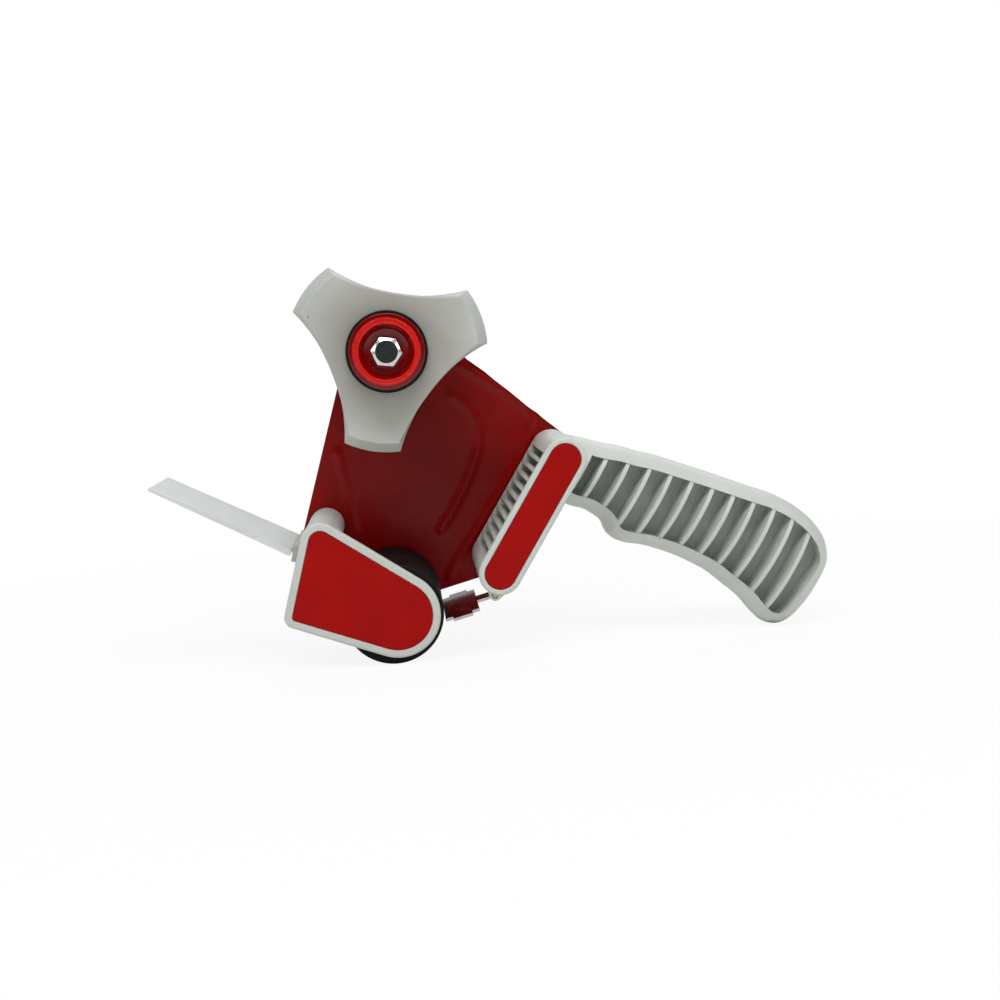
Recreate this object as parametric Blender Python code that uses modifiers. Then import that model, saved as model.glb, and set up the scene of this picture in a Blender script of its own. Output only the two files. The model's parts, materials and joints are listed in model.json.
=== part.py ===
"""A hand-held packing-tape dispenser, standing on its roller and on the end of its grip.

Lengths are in metres. Pieces are placed in the gun frame, whose origin is on the tape hub's axle in the
plane of the cover's near face: X runs towards the grip, Z up, and Y from the cover to the steel side
plate. The empty named stance leans that frame about Y until roller and grip both touch z = 0.
"""

import math

import bmesh
import bpy
from mathutils import Matrix, Vector

# Fits shared by all pieces
seat_gap = 0.0003
running_gap = 0.0003
cut_overrun = 0.003

# Fineness of round shapes, and what counts as one point or as a sharp edge
arc_step = math.radians(9)
round_steps = 48
small_round_steps = 24
weld_distance = 0.000003
sharp_angle = math.radians(35)
bevel_angle = math.radians(50)
bevel_segments = 2

# Body: the depth between the cover's near face and the plate's near face
body_depth = 0.056
skin_thickness = 0.003

# Tape hub, a three-lobed core for a 76 mm tape roll
lobe_count = 3
lobe_first_angle = math.radians(21)
hub_rim_radius = 0.038
hub_front_radius = 0.0345
hub_waist_radius = 0.0219
hub_lobe_half_angle = math.radians(16.3)
hub_front = 0.004
hub_taper_depth = 0.008
hub_back_gap = 0.003
hub_length = body_depth - hub_front - hub_back_gap
hub_wall = 0.0026
hub_core_radius = 0.0155
hub_flank_steps = 12
grip_rib_count = 5
grip_rib_height = 0.0007
grip_rib_half_angle = math.radians(0.8)
# Each row: across a rib from its middle, and up it
grip_rib_shares = ((-1.0, 0.0), (-0.5, 1.0), (0.5, 1.0), (1.0, 0.0))

# Hub axle: a steel sleeve on the plate, and what brakes the hub
sleeve_radius = 0.005
sleeve_flange_radius = 0.009
sleeve_flange_length = 0.0024
sleeve_front = 0.001
bolt_radius = 0.003
bolt_flats = 0.010
bolt_head_height = 0.004
bolt_head_turn = math.radians(-4.5)
bolt_overhang = 0.0006
nut_height = 0.005
washer_radius = 0.01525
washer_thickness = 0.0018
washer_face = 0.0018

# Brake knob
screw_pitch = 0.001
knob_turns = 1
knob_flange_radius = 0.0141
knob_flange_length = 0.0024
knob_grip_radius = 0.0122
knob_grip_length = 0.0086
knob_knurl_count = 36
knob_knurl_height = 0.0004
knob_knurl_points = 4
knob_dish_radius = 0.010
knob_dish_floor_radius = 0.0086
knob_dish_depth = 0.0042
knob_pocket_radius = 0.0088
knob_pocket_depth = 0.0052
thrust_radius = 0.0083
thrust_thickness = 0.001
spring_mean_radius = 0.0070
spring_wire_radius = 0.0006
spring_turns = 2.5
spring_points_per_turn = 12

# Side plate
plate_thickness = 0.0012
plate_hub_radius = 0.0165
plate_toe_x = -0.0255
plate_toe_z = -0.0973
plate_toe_radius = 0.015
bead_radius = 0.0011
bead_outer_x = 0.0582
bead_outer_z = -0.0962
bead_outer_shares = (
    (0.505, 0.060), (0.878, 0.199), (0.972, 0.252), (1.000, 0.302), (0.962, 0.400),
    (0.907, 0.472), (0.643, 0.740), (0.462, 0.918), (0.425, 0.965),
)
bead_inner_x = 0.0365
bead_inner_z = -0.0750
bead_inner_shares = (
    (0.720, 0.244), (0.893, 0.316), (0.985, 0.400), (1.000, 0.470), (0.989, 0.555),
    (0.871, 0.721), (0.720, 0.867), (0.573, 0.980),
)
bead_left_x = -0.0208
bead_left_z = -0.0741
bead_left_shares = ((1.000, 0.561), (0.913, 0.663), (0.832, 0.769), (0.750, 0.884), (0.678, 1.000))

# Roller
roller_x = 0.0018
roller_z = -0.0987
roller_radius = 0.0191
roller_front = 0.0036
roller_back_gap = 0.0020
roller_length = body_depth - roller_front - roller_back_gap
rubber_thickness = 0.0042
core_recess = 0.0024
roller_axle_radius = 0.003
roller_boss_radius = 0.006
axle_seat_depth = 0.0016
axle_nut_flats = 0.0085
axle_nut_height = 0.0035

# Front housing: near cover and front wall in one moulding
nose_x = 0.0035
nose_z = -0.0987
nose_radius = 0.0161
shoulder_x = -0.0253
shoulder_z = -0.0708
shoulder_radius = 0.0074
toe_x = -0.0347
toe_z = -0.0990
toe_radius = 0.0043
wall_inset = 0.0003
wall_thickness = 0.0022
wall_hollow_share = 0.45
wall_lower_screw_share = 0.72
rim_width = 0.0029
recess_depth = 0.0010
label_thickness = 0.0005
label_gap = 0.0002
edge_round = 0.0007

# Screws through the side plate
screw_radius = 0.0018
screw_head_radius = 0.0036
screw_head_height = 0.0022
screw_crown_share = 0.7
screw_depth = 0.011
screw_boss_radius = 0.0042

# Blade, on the wall's inner face
blade_front = 0.0040
blade_back_gap = 0.0040
blade_width = body_depth - blade_front - blade_back_gap
blade_height = 0.0100
blade_thickness = 0.0008
blade_tooth_pitch = 0.0016
blade_tooth_depth = 0.0016
blade_start_share = 0.62
blade_screw_inset = 0.010
blade_screw_drop = 0.0035
blade_screw_radius = 0.0012
blade_screw_head_radius = 0.0024
blade_screw_head_height = 0.0012
blade_screw_depth = 0.0030

# Wiper flap and its mount, on the wall's outer face
flap_seat_share = 0.215
flap_front = 0.0034
flap_back_gap = 0.0060
flap_width = body_depth - flap_front - flap_back_gap
flap_length = 0.0580
flap_root_thickness = 0.0023
flap_tip_thickness = 0.0010
flap_rise = math.radians(25)
flap_hinge_reach = 0.0036
flap_mount_height = 0.0064

# Bracket and grip in one moulding
bracket_x = 0.0421
bracket_z = -0.0832
bracket_length = 0.0495
bracket_radius = 0.0082
bracket_lean = math.radians(29.4)
bracket_label_radius = 0.0061
slot_count = 11
slot_pitch = 0.0042
slot_width = 0.0029
slot_depth = 0.0068
slot_first = 0.0042
slot_end_wall = 0.0026
grip_length = 0.1153
grip_reach = 0.0782
grip_half_depth = 0.016
grip_section_points = 24
# Each row: along the grip, its lower edge, its upper edge, and its half depth
grip_station_shares = (
    (-0.018, 0.430, 0.735, 1.00),
    (0.030, 0.430, 0.757, 1.00),
    (0.114, 0.435, 0.791, 1.00),
    (0.175, 0.456, 0.822, 1.00),
    (0.228, 0.452, 0.839, 1.00),
    (0.278, 0.406, 0.862, 1.00),
    (0.316, 0.398, 0.875, 1.00),
    (0.408, 0.442, 0.903, 1.00),
    (0.478, 0.465, 0.924, 1.00),
    (0.553, 0.480, 0.944, 1.00),
    (0.632, 0.485, 0.966, 1.00),
    (0.716, 0.468, 0.989, 1.00),
    (0.781, 0.453, 0.994, 1.00),
    (0.855, 0.415, 0.982, 1.00),
    (0.904, 0.401, 0.959, 0.98),
    (0.944, 0.417, 0.929, 0.90),
    (0.967, 0.448, 0.897, 0.80),
    (0.981, 0.504, 0.874, 0.68),
    (0.989, 0.634, 0.855, 0.50),
    (1.000, 0.761, 0.806, 0.18),
)
pocket_wall = 0.0053
pocket_web_thickness = 0.003
pocket_start_wall = 0.0020
pocket_end_wall = 0.0060
pocket_samples = 4
hand_rib_count = 11
hand_rib_start_gap = 0.0056
hand_rib_thickness = 0.0017

# Retainer plate under the bracket
retainer_pivot_x = 0.0412
retainer_pivot_z = -0.0944
retainer_rise = math.radians(17.4)
retainer_near = 0.0008
retainer_back_gap = 0.0020
retainer_width = body_depth - retainer_near - retainer_back_gap
retainer_drop = 0.0010
retainer_reach = 0.0208
retainer_blade_length = 0.0135
retainer_thickness = 0.0011
retainer_tab_width = 0.0104
retainer_notch = 0.0044
retainer_notch_width = 0.0030
retainer_eye_radius = 0.0018
retainer_eye_inset = 0.0002
retainer_pin_radius = 0.0010
retainer_pin_length = 0.0196
retainer_block_width = 0.0196
retainer_block_radius = 0.0022
retainer_block_foot_radius = 0.0016


def collection(name):
    made = bpy.data.collections.new(name)
    bpy.context.scene.collection.children.link(made)
    return made


def material(name, colour, roughness, metallic=0.0):
    made = bpy.data.materials.new(name)
    made.use_nodes = True
    shader = made.node_tree.nodes["Principled BSDF"]
    shader.inputs["Base Color"].default_value = (*colour, 1.0)
    shader.inputs["Roughness"].default_value = roughness
    shader.inputs["Metallic"].default_value = metallic
    return made


def axis_empty(name, x=0.0, y=0.0, z=0.0, parent=None):
    """An empty on a joint's axis; its children keep gun-frame coordinates."""
    made = bpy.data.objects.new(name, None)
    made.empty_display_size = bolt_flats
    made.location = (x, y, z)
    made.parent = parent
    parts.objects.link(made)
    return made


def place(made, matrix, finish, parent):
    """Link an object as a part, or as a cutter where it has no finish."""
    if finish is None:
        cutters.objects.link(made)
        made.display_type = "WIRE"
        made.hide_render = True
    else:
        parts.objects.link(made)
        made.data.materials.append(finish)
    made.parent = parent or stance
    if parent and parent is not stance:
        made.matrix_parent_inverse = Matrix.Translation(-parent.location)
    made.matrix_basis = matrix
    return made


def frame_at(x, y, z, local_x, local_y):
    """The matrix with these directions for local X and Y, and Z square to both."""
    first, second = Vector(local_x).normalized(), Vector(local_y).normalized()
    turned_axes = Matrix((first, second, first.cross(second))).transposed()
    return Matrix.Translation((x, y, z)) @ turned_axes.to_4x4()


def facing_far(x, z, y=0.0):
    """Local Z along the gun's Y: for turned pieces on an axle."""
    return frame_at(x, y, z, (1, 0, 0), (0, 0, -1))


def side_on(near, far):
    """Local X and Y on the gun's X and Z: for outlines seen from the side."""
    return frame_at(0.0, (near + far) / 2, 0.0, (1, 0, 0), (0, 0, 1))


def arc(x, z, radius, start, end):
    """Points on an arc, with both of its ends."""
    count = max(1, math.ceil(abs(end - start) / arc_step))
    angles = [start + (end - start) * i / count for i in range(count + 1)]
    return [(x + radius * math.cos(a), z + radius * math.sin(a)) for a in angles]


def tangent_angle(first, second):
    """The direction of the outer normal of the line that touches both circles on the right."""
    dx, dz = second[0] - first[0], second[1] - first[1]
    spread = math.acos((first[2] - second[2]) / math.hypot(dx, dz))
    return math.atan2(dz, dx) - spread


def tangent_hull(circles):
    """The outline round circles (x, z, radius), which are listed anticlockwise."""
    points = []
    for i, circle in enumerate(circles):
        start = tangent_angle(circles[i - 1], circle)
        end = tangent_angle(circle, circles[(i + 1) % len(circles)])
        while end < start:
            end += math.tau
        points += arc(*circle, start, end)
    return points


def grown(circles, by):
    return [(x, z, radius + by) for x, z, radius in circles]


def on_line(first, second, share):
    """A point on the touching line of two circles, and its outer normal."""
    angle = tangent_angle(first, second)
    normal = Vector((math.cos(angle), math.sin(angle)))
    start = Vector(first[:2]) + normal * first[2]
    end = Vector(second[:2]) + normal * second[2]
    return start.lerp(end, share), normal, (end - start).normalized()


def prism(name, outline, thickness, matrix, finish=None, parent=None):
    """A flat outline, extruded half its thickness to each side of its plane."""
    curve = bpy.data.curves.new(name + "_outline", "CURVE")
    curve.dimensions = "2D"
    curve.fill_mode = "BOTH"
    curve.extrude = thickness / 2
    spline = curve.splines.new("POLY")
    spline.points.add(len(outline) - 1)
    for point, (a, b) in zip(spline.points, outline):
        point.co = (a, b, 0.0, 1.0)
    spline.use_cyclic_u = True
    return meshed(name, curve, matrix, finish, parent)


def meshed(name, curve, matrix, finish, parent, smooth=False):
    """A closed mesh of a curve, so that it can be cut or joined."""
    guide = bpy.data.objects.new(name + "_guide", curve)
    bpy.context.scene.collection.objects.link(guide)
    graph = bpy.context.evaluated_depsgraph_get()
    mesh = bpy.data.meshes.new_from_object(guide.evaluated_get(graph))
    bpy.data.objects.remove(guide)
    bpy.data.curves.remove(curve)
    mesh.name = name
    mesh.materials.clear()
    shape = bmesh.new()
    shape.from_mesh(mesh)
    bmesh.ops.remove_doubles(shape, verts=shape.verts, dist=weld_distance)
    bmesh.ops.recalc_face_normals(shape, faces=shape.faces)
    shape.to_mesh(mesh)
    shape.free()
    if smooth:
        mesh.shade_smooth()
    return place(bpy.data.objects.new(name, mesh), matrix, finish, parent)


def wire(name, points, radius, matrix, finish=None, parent=None, sides=2):
    """A round wire along points in the matrix's own space."""
    curve = bpy.data.curves.new(name + "_path", "CURVE")
    curve.dimensions = "3D"
    curve.bevel_depth = radius
    curve.bevel_resolution = sides
    curve.use_fill_caps = True
    spline = curve.splines.new("POLY")
    spline.points.add(len(points) - 1)
    for point, at in zip(spline.points, points):
        point.co = (*at, 1.0)
    return meshed(name, curve, matrix, finish, parent, smooth=True)


def turned(name, profile, matrix, finish=None, parent=None, steps=round_steps, closed=True):
    """A profile of (radius, height) points, outer side from its far end to its near end."""
    mesh = bpy.data.meshes.new(name)
    count = len(profile)
    edges = [(i, (i + 1) % count) for i in range(count if closed else count - 1)]
    mesh.from_pydata([(radius, 0.0, height) for radius, height in profile], edges, [])
    made = place(bpy.data.objects.new(name, mesh), matrix, finish, parent)
    screw = made.modifiers.new("turn", "SCREW")
    screw.axis = "Z"
    screw.steps = steps
    screw.render_steps = steps
    screw.use_merge_vertices = True
    screw.merge_threshold = weld_distance
    screw.use_smooth_shade = True
    return made


def tube(name, radius, bore, near, far, matrix, finish=None, parent=None, steps=round_steps):
    profile = [(radius, far), (radius, near), (bore, near), (bore, far)]
    return turned(name, profile, matrix, finish, parent, steps)


def rod(name, radius, near, far, matrix, finish=None, parent=None, steps=round_steps):
    profile = [(0.0, far), (radius, far), (radius, near), (0.0, near)]
    return turned(name, profile, matrix, finish, parent, steps, closed=False)


def block(name, size, matrix, finish=None, parent=None):
    mesh = bpy.data.meshes.new(name)
    shape = bmesh.new()
    bmesh.ops.create_cube(shape, size=1.0)
    bmesh.ops.scale(shape, vec=size, verts=shape.verts)
    shape.to_mesh(mesh)
    shape.free()
    return place(bpy.data.objects.new(name, mesh), matrix, finish, parent)


def loft(name, rings, matrix, finish=None, parent=None):
    """A solid through rings of equal point counts, each a list of (x, y, z)."""
    mesh = bpy.data.meshes.new(name)
    shape = bmesh.new()
    loops = [[shape.verts.new(point) for point in ring] for ring in rings]
    for before, after in zip(loops, loops[1:]):
        for i in range(len(before)):
            j = (i + 1) % len(before)
            shape.faces.new((before[i], before[j], after[j], after[i]))
    shape.faces.new(loops[0])
    shape.faces.new(loops[-1])
    bmesh.ops.recalc_face_normals(shape, faces=shape.faces)
    shape.to_mesh(mesh)
    shape.free()
    mesh.shade_smooth()
    mesh.set_sharp_from_angle(angle=sharp_angle)
    return place(bpy.data.objects.new(name, mesh), matrix, finish, parent)


def boolean(target, other, operation, solver):
    step = target.modifiers.new(f"{operation.lower()} {other.name}", "BOOLEAN")
    step.operation = operation
    step.solver = solver
    step.object = other


def cut(target, other, solver="EXACT"):
    boolean(target, other, "DIFFERENCE", solver)


def join(target, other, solver="EXACT"):
    boolean(target, other, "UNION", solver)


def round_edges(target, width):
    bevel = target.modifiers.new("rounded edges", "BEVEL")
    bevel.width = width
    bevel.segments = bevel_segments
    bevel.limit_method = "ANGLE"
    bevel.angle_limit = bevel_angle


def hexagon(flats, first_angle=0.0):
    corner = flats / math.sqrt(3)
    angles = [first_angle + math.tau * i / 6 for i in range(6)]
    return [(corner * math.cos(a), corner * math.sin(a)) for a in angles]


def lobe_outline(rim, waist, rib_height):
    """Lobes with small ribs across their outer faces, joined by concave flanks."""
    gap_half = math.pi / lobe_count - hub_lobe_half_angle
    reach = rim * math.cos(gap_half)
    flank = (rim**2 + waist**2 - 2 * waist * reach) / (2 * (reach - waist))
    spread = math.asin(rim * math.sin(gap_half) / flank)
    rib_pitch = 2 * hub_lobe_half_angle / grip_rib_count
    points = []
    for lobe in range(lobe_count):
        centre = lobe_first_angle + math.tau * lobe / lobe_count
        for rib in range(grip_rib_count):
            middle = centre + (rib - (grip_rib_count - 1) / 2) * rib_pitch
            for across, up in grip_rib_shares:
                angle = middle + across * grip_rib_half_angle
                radius = rim + up * rib_height
                points.append((radius * math.cos(angle), radius * math.sin(angle)))
        middle = centre + math.pi / lobe_count
        far = waist + flank
        for i in range(hub_flank_steps + 1):
            turn = middle + math.pi + spread * (1 - 2 * i / hub_flank_steps)
            x = far * math.cos(middle) + flank * math.cos(turn)
            z = far * math.sin(middle) + flank * math.sin(turn)
            points.append((x, z))
    return points


def ring_at(outline, y):
    return [(x, y, z) for x, z in outline]


def build_hub():
    """The three-lobed core that a tape roll slides over, with a pocket in the back of each lobe."""
    rim_y = hub_front + hub_taper_depth
    back = hub_front + hub_length
    front_outline = lobe_outline(hub_front_radius, hub_waist_radius, 0.0)
    rim_outline = lobe_outline(hub_rim_radius, hub_waist_radius, grip_rib_height)
    rings = [
        ring_at(front_outline, hub_front),
        ring_at(rim_outline, rim_y),
        ring_at(rim_outline, back),
    ]
    hub = loft("tape_hub", rings, Matrix(), grey_plastic, hub_axis)
    bore = sleeve_radius + running_gap
    cut(hub, rod("hub_bore", bore, hub_front - cut_overrun, back + cut_overrun, facing_far(0, 0)))
    for lobe in range(lobe_count):
        centre = lobe_first_angle + math.tau * lobe / lobe_count
        half = hub_lobe_half_angle - hub_wall / hub_rim_radius
        inner = arc(0, 0, hub_core_radius, centre + half, centre - half)
        rings = []
        for rim, y in ((hub_front_radius, hub_front + hub_wall), (hub_rim_radius, rim_y + hub_wall)):
            outer = arc(0, 0, rim - hub_wall, centre - half, centre + half)
            rings.append(ring_at(outer + inner, y))
        rings.append(ring_at(outer + inner, back + cut_overrun))
        cut(hub, loft(f"lobe_pocket_{lobe + 1}", rings, Matrix()))


def nut_ends():
    near = body_depth + plate_thickness + 2 * seat_gap
    return near, near + nut_height


def build_axle():
    """The sleeve that the hub turns on, its nut, the friction washer and the brake spring."""
    bore = bolt_radius + running_gap
    plate_seat = body_depth - seat_gap
    profile = [
        (sleeve_flange_radius, plate_seat),
        (sleeve_flange_radius, plate_seat - sleeve_flange_length),
        (sleeve_radius, plate_seat - sleeve_flange_length),
        (sleeve_radius, sleeve_front),
        (bore, sleeve_front),
        (bore, plate_seat),
    ]
    turned("axle_sleeve", profile, facing_far(0, 0), steel)
    nut_near, nut_far = nut_ends()
    nut = prism("axle_nut", hexagon(bolt_flats), nut_height, side_on(nut_near, nut_far), steel)
    cut(nut, rod("axle_nut_bore", bore, nut_near - cut_overrun, nut_far + cut_overrun, facing_far(0, 0)))
    washer_bore = sleeve_radius + seat_gap
    tube("friction_washer", washer_radius, washer_bore, washer_face, washer_face + washer_thickness,
         facing_far(0, 0), black_rubber)


def spring_ends():
    """Where the brake spring's wire runs, between the thrust washer and the friction washer."""
    far = washer_face - seat_gap - spring_wire_radius
    near = thrust_near() + thrust_thickness + seat_gap + spring_wire_radius
    return near, far


def knob_back():
    return washer_face - seat_gap - screw_pitch * knob_turns


def thrust_near():
    return knob_back() - knob_pocket_depth + seat_gap


def build_spring():
    near, far = spring_ends()
    count = int(spring_turns * spring_points_per_turn)
    points = []
    for i in range(count + 1):
        turn = math.tau * spring_turns * i / count
        x = spring_mean_radius * math.cos(turn)
        points.append((x, spring_mean_radius * math.sin(turn), near + (far - near) * i / count))
    wire("brake_spring", points, spring_wire_radius, facing_far(0, 0), bright_steel, sides=1)


def build_knob():
    """The red knob, moulded round a hex bolt whose thread draws both towards the plate."""
    back = knob_back()
    flange_near = back - knob_flange_length
    front = flange_near - knob_grip_length
    axis = facing_far(0, 0)
    profile = [
        (0.0, back),
        (knob_flange_radius, back),
        (knob_flange_radius, flange_near),
        (knob_grip_radius - knob_knurl_height, flange_near),
        (knob_grip_radius - knob_knurl_height, front),
        (0.0, front),
    ]
    knob = turned("knob", profile, axis, red_plastic, knob_axis, closed=False)
    steps = knob_knurl_count * knob_knurl_points
    knurl = []
    for i in range(steps):
        angle = math.tau * i / steps
        radius = knob_grip_radius + knob_knurl_height * math.sin(knob_knurl_count * angle)
        knurl.append((radius * math.cos(angle), radius * math.sin(angle)))
    margin = knob_knurl_height
    knurl_near, knurl_far = front + margin, flange_near + margin
    join(knob, prism("knob_knurl", knurl, knurl_far - knurl_near, side_on(knurl_near, knurl_far)))
    dish = [
        (0.0, front + knob_dish_depth),
        (knob_dish_floor_radius, front + knob_dish_depth),
        (knob_dish_radius, front - cut_overrun),
        (0.0, front - cut_overrun),
    ]
    cut(knob, turned("knob_dish", dish, axis, closed=False))
    cut(knob, rod("knob_pocket", knob_pocket_radius, back - knob_pocket_depth, back + cut_overrun, axis))
    cut(knob, rod("knob_bore", bolt_radius + seat_gap, front, back, axis, steps=small_round_steps))
    head_far = front + knob_dish_depth - seat_gap
    head_near = head_far - bolt_head_height
    head = hexagon(bolt_flats, bolt_head_turn)
    bolt = prism("knob_bolt", head, bolt_head_height, side_on(head_near, head_far), bright_steel, knob_axis)
    bolt_middle = (head_near + head_far) / 2
    bolt_end = nut_ends()[1] + bolt_overhang
    join(bolt, rod("bolt_shank", bolt_radius, bolt_middle, bolt_end, axis))


def build_thrust_washer():
    near = thrust_near()
    bore = bolt_radius + seat_gap
    far = near + thrust_thickness
    tube("thrust_washer", thrust_radius, bore, near, far, facing_far(0, 0), steel, knob_slide)


def bracket_directions():
    """In the side view: up the bracket's axis, and square out from it to the grip."""
    up = Vector((math.sin(bracket_lean), math.cos(bracket_lean)))
    return up, Vector((up.y, -up.x))


def bracket_point(along, out=0.0):
    up, across = bracket_directions()
    return Vector((bracket_x, bracket_z)) + up * along + across * out


def bracket_frame(along, out, y):
    at = bracket_point(along, out)
    across = bracket_directions()[1]
    return frame_at(at.x, y, at.y, (across.x, 0, across.y), (0, 1, 0))


def screw_places():
    """Side-view places of the four screws through the plate, with the pieces that they hold."""
    wall = wall_circles()
    shoulder, toe = Vector(wall[0][:2]), Vector(wall[1][:2])
    lower = shoulder.lerp(toe, wall_lower_screw_share)
    top = bracket_point(bracket_length)
    foot = bracket_point(0.0)
    return {
        "housing_screw_upper": shoulder,
        "housing_screw_lower": lower,
        "bracket_screw_upper": top,
        "bracket_screw_lower": foot,
    }


def screw_cutter(name, at):
    hole = screw_radius + seat_gap
    near = body_depth - screw_depth - seat_gap
    far = body_depth + plate_thickness + cut_overrun
    return rod(name, hole, near, far, facing_far(at.x, at.y), steps=small_round_steps)


def build_plate():
    """The steel side plate, with its three pressed beads."""
    top, foot = bracket_point(bracket_length), bracket_point(0.0)
    circles = [
        (0.0, 0.0, plate_hub_radius),
        (plate_toe_x, plate_toe_z, plate_toe_radius),
        (foot.x, foot.y, bracket_radius),
        (top.x, top.y, bracket_radius),
    ]
    near, far = body_depth, body_depth + plate_thickness
    plate = prism("side_plate", tangent_hull(circles), plate_thickness, side_on(near, far), red_paint)
    for name, width, height, shares in (
        ("outer_bead", bead_outer_x, bead_outer_z, bead_outer_shares),
        ("inner_bead", bead_inner_x, bead_inner_z, bead_inner_shares),
        ("left_bead", bead_left_x, bead_left_z, bead_left_shares),
    ):
        route = [(a * width, near, b * height) for a, b in shares]
        join(plate, wire(name, route, bead_radius, Matrix(), sides=1))
    for name, at in screw_places().items():
        cut(plate, screw_cutter(name + "_hole", at))
    for name, hole, axis in (
        ("plate_bolt_hole", bolt_radius + running_gap, facing_far(0, 0)),
        ("plate_axle_hole", roller_axle_radius + seat_gap, facing_far(roller_x, roller_z)),
    ):
        cut(plate, rod(name, hole, near - cut_overrun, far + cut_overrun, axis))


def build_plate_screws():
    far = body_depth + plate_thickness + seat_gap
    for name, at in screw_places().items():
        profile = [
            (0.0, far + screw_head_height),
            (screw_head_radius * screw_crown_share, far + screw_head_height),
            (screw_head_radius, far + screw_head_height / 2),
            (screw_head_radius, far),
            (screw_radius, far),
            (screw_radius, body_depth - screw_depth),
            (0.0, body_depth - screw_depth),
        ]
        turned(name, profile, facing_far(at.x, at.y), bright_steel, steps=small_round_steps, closed=False)


def cover_circles():
    return [
        (shoulder_x, shoulder_z, shoulder_radius),
        (toe_x, toe_z, toe_radius),
        (nose_x, nose_z, nose_radius),
    ]


def wall_circles():
    return grown(cover_circles()[:2], -wall_inset)


def build_housing():
    """The near cover and the front wall, one moulding, with its red label."""
    solver = "MANIFOLD"  # its near-tangent walls defeat the exact solver
    circles = cover_circles()
    cover = side_on(0, skin_thickness)
    housing = prism("front_housing", tangent_hull(circles), skin_thickness, cover, grey_plastic)
    round_edges(housing, edge_round)
    wall_near = skin_thickness / 2
    wall_far = body_depth - seat_gap
    wall = wall_circles()
    wall_depth = side_on(wall_near, wall_far)
    join(housing, prism("front_wall", tangent_hull(wall), wall_far - wall_near, wall_depth), solver)
    boss_far = skin_thickness + core_recess
    boss = rod("roller_boss", roller_boss_radius, wall_near, boss_far, facing_far(roller_x, roller_z))
    join(housing, boss, solver)
    shoulder, toe = Vector(wall[0][:2]), Vector(wall[1][:2])
    middle = shoulder.lerp(toe, wall_hollow_share)
    middle_radius = wall[0][2] + (wall[1][2] - wall[0][2]) * wall_hollow_share
    hollow = grown([wall[0], (middle.x, middle.y, middle_radius)], -wall_thickness)
    hollow_near, hollow_far = skin_thickness + wall_thickness, wall_far + cut_overrun
    hollow_depth = side_on(hollow_near, hollow_far)
    cut(housing, prism("wall_hollow", tangent_hull(hollow), hollow_far - hollow_near, hollow_depth), solver)
    boss_near = hollow_near - wall_thickness / 2
    boss_axis = facing_far(shoulder.x, shoulder.y)
    join(housing, rod("wall_screw_boss", screw_boss_radius, boss_near, wall_far, boss_axis), solver)
    recess = tangent_hull(grown(circles, -rim_width))
    recess_matrix = side_on(recess_depth - cut_overrun, recess_depth)
    cut(housing, prism("cover_recess", recess, cut_overrun, recess_matrix), solver)
    places = screw_places()
    for name in ("housing_screw_upper", "housing_screw_lower"):
        cut(housing, screw_cutter(name + "_seat", places[name]), solver)
    seat_near = axle_seat_depth - seat_gap
    axle_hole = roller_axle_radius + seat_gap
    axle_seat = rod("axle_seat", axle_hole, seat_near, boss_far + cut_overrun, facing_far(roller_x, roller_z))
    cut(housing, axle_seat, solver)
    for name, matrix in blade_screw_frames().items():
        hole = blade_screw_radius + seat_gap
        depth = blade_screw_depth + seat_gap
        seat = rod(name + "_seat", hole, -depth, cut_overrun, matrix, steps=small_round_steps)
        cut(housing, seat, solver)
    build_label("cover_label", grown(circles, -rim_width - label_gap))


def build_label(name, circles):
    far = recess_depth - seat_gap
    near = far - label_thickness
    prism(name, tangent_hull(circles), label_thickness, side_on(near, far), label_red)


def blade_line():
    wall = wall_circles()
    start, normal, up = on_line(wall[1], wall[0], 1 - blade_start_share)
    return start, normal, -up


def blade_screw_frames():
    """Frames on the wall's inner face with local Z along its normal."""
    start, _, down = blade_line()
    at = start + down * blade_screw_drop
    frames = {}
    for name, y in (
        ("blade_screw_near", blade_front + blade_screw_inset),
        ("blade_screw_far", blade_front + blade_width - blade_screw_inset),
    ):
        frames[name] = frame_at(at.x, y, at.y, (down.x, 0, down.y), (0, 1, 0))
    return frames


def build_blade():
    """The saw-toothed cutting strip, screwed to the front wall."""
    start, normal, down = blade_line()
    teeth = round(blade_width / blade_tooth_pitch)
    pitch = blade_width / teeth
    outline = [(0.0, 0.0), (blade_width, 0.0)]
    root = blade_height - blade_tooth_depth
    for i in range(teeth):
        right = blade_width - pitch * i
        outline.append((right, root))
        outline.append((right - pitch / 2, blade_height))
    outline.append((0.0, root))
    lift = seat_gap + blade_thickness / 2
    at = start + normal * lift
    matrix = frame_at(at.x, blade_front, at.y, (0, 1, 0), (down.x, 0, down.y))
    blade = prism("blade", outline, blade_thickness, matrix, bright_steel)
    for name, frame in blade_screw_frames().items():
        hole = blade_screw_radius + seat_gap
        cut(blade, rod(name + "_hole", hole, -cut_overrun, cut_overrun, frame, steps=small_round_steps))
        face = blade_thickness + 2 * seat_gap
        profile = [
            (0.0, face + blade_screw_head_height),
            (blade_screw_head_radius, face + blade_screw_head_height),
            (blade_screw_head_radius, face),
            (blade_screw_radius, face),
            (blade_screw_radius, -blade_screw_depth),
            (0.0, -blade_screw_depth),
        ]
        turned(name, profile, frame, bright_steel, steps=small_round_steps, closed=False)


def flap_hinge():
    """The flap's hinge point in the side view, and the outward normal of the wall behind it."""
    wall = wall_circles()
    at, normal, _ = on_line(wall[0], wall[1], flap_seat_share)
    return at + normal * flap_hinge_reach, normal


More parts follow.
